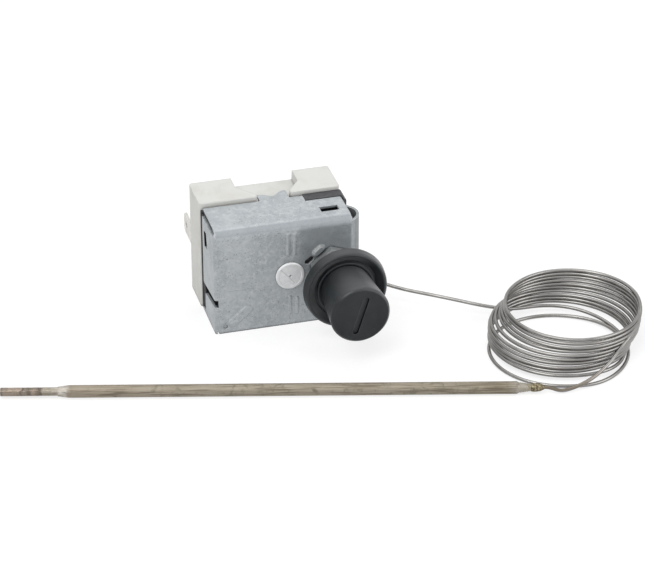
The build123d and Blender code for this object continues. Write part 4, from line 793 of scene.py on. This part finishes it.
# Floor: a plain white sheet that keeps the object's soft shadow.
# What the camera sees of it is lifted to white.
PAPER = (0.75, 0.75, 0.75, 1.0)
PAPER_SHADOW = (0.30, 0.30, 0.30, 1.0)
WHITE = (1.0, 1.0, 1.0, 1.0)
floor_mesh = bpy.data.meshes.new("floor")
floor_mesh.from_pydata([(-3, -3, 0), (3, -3, 0), (3, 3, 0), (-3, 3, 0)], [], [(0, 1, 2, 3)])
floor = bpy.data.objects.new("floor", floor_mesh)
bpy.context.scene.collection.objects.link(floor)
paper = bpy.data.materials.new("white_paper")
paper.use_nodes = True
tree = paper.node_tree
tree.nodes.clear()


def seen_directly(tree):
    """1 for rays from the camera, from a gloss and through clear surfaces."""
    path = place(tree, "ShaderNodeLightPath")
    seen = path.outputs["Is Camera Ray"]
    for kind in ("Is Glossy Ray", "Is Transmission Ray"):
        seen = calculate(tree, "MAXIMUM", seen, path.outputs[kind])
    return seen


matt = place(tree, "ShaderNodeBsdfDiffuse", {"Color": PAPER})
dim = place(tree, "ShaderNodeBsdfDiffuse", {"Color": PAPER_SHADOW})
glow = place(tree, "ShaderNodeEmission", {"Color": WHITE, "Strength": 0.72})
lifted = place(tree, "ShaderNodeAddShader", {0: dim.outputs[0], 1: glow.outputs[0]})
sheet = place(tree, "ShaderNodeMixShader", {0: seen_directly(tree), 1: matt.outputs[0], 2: lifted.outputs[0]})
place(tree, "ShaderNodeOutputMaterial", {"Surface": sheet.outputs[0]})
floor_mesh.materials.append(paper)

# Light: a soft even sky, with a broad lamp from the upper left and weaker ones from above and the right.
# The sky is white to the camera.
LAMP_TARGET = (0.02, -0.04, 0.01)
world = bpy.data.worlds.new("studio")
bpy.context.scene.world = world
world.use_nodes = True
tree = world.node_tree
tree.nodes.clear()
sky = place(tree, "ShaderNodeBackground", {"Color": WHITE, "Strength": 0.55})
backdrop = place(tree, "ShaderNodeBackground", {"Color": WHITE, "Strength": 1.0})
both = place(tree, "ShaderNodeMixShader", {0: seen_directly(tree), 1: sky.outputs[0], 2: backdrop.outputs[0]})
place(tree, "ShaderNodeOutputWorld", {"Surface": both.outputs[0]})


def soft_lamp(name, position, size, power):
    """Square area lamp aimed at the object."""
    lamp = bpy.data.lights.new(name, "AREA")
    lamp.shape = "SQUARE"
    lamp.size = size
    lamp.energy = power
    holder = bpy.data.objects.new(name, lamp)
    holder.location = position
    holder.rotation_euler = (Vector(LAMP_TARGET) - Vector(position)).to_track_quat("-Z", "Y").to_euler()
    bpy.context.scene.collection.objects.link(holder)


soft_lamp("main_lamp", (-0.55, -0.50, 1.00), 0.7, 7.0)
soft_lamp("top_lamp", (0.12, 0.38, 0.90), 0.7, 2.0)
soft_lamp("fill_lamp", (0.80, -0.60, 0.55), 0.8, 4.6)

# Camera: a long lens from the front, a little left and high, as in the photograph.
# It looks down on the object, and its colours are shown as they are.
CAMERA_PLACE = (-168.31, -675.17, 410.13)
CAMERA_AIM = (0.22987, 0.83114, -0.50634)
camera_data = bpy.data.cameras.new("camera")
camera_data.sensor_width = 36.0
camera_data.lens = 145.1
camera_data.clip_end = 20.0
camera = bpy.data.objects.new("camera", camera_data)
camera.location = Vector(CAMERA_PLACE) * MM
camera.rotation_euler = Vector(CAMERA_AIM).to_track_quat("-Z", "Y").to_euler()
bpy.context.scene.collection.objects.link(camera)
bpy.context.scene.camera = camera
bpy.context.scene.view_settings.view_transform = "Standard"
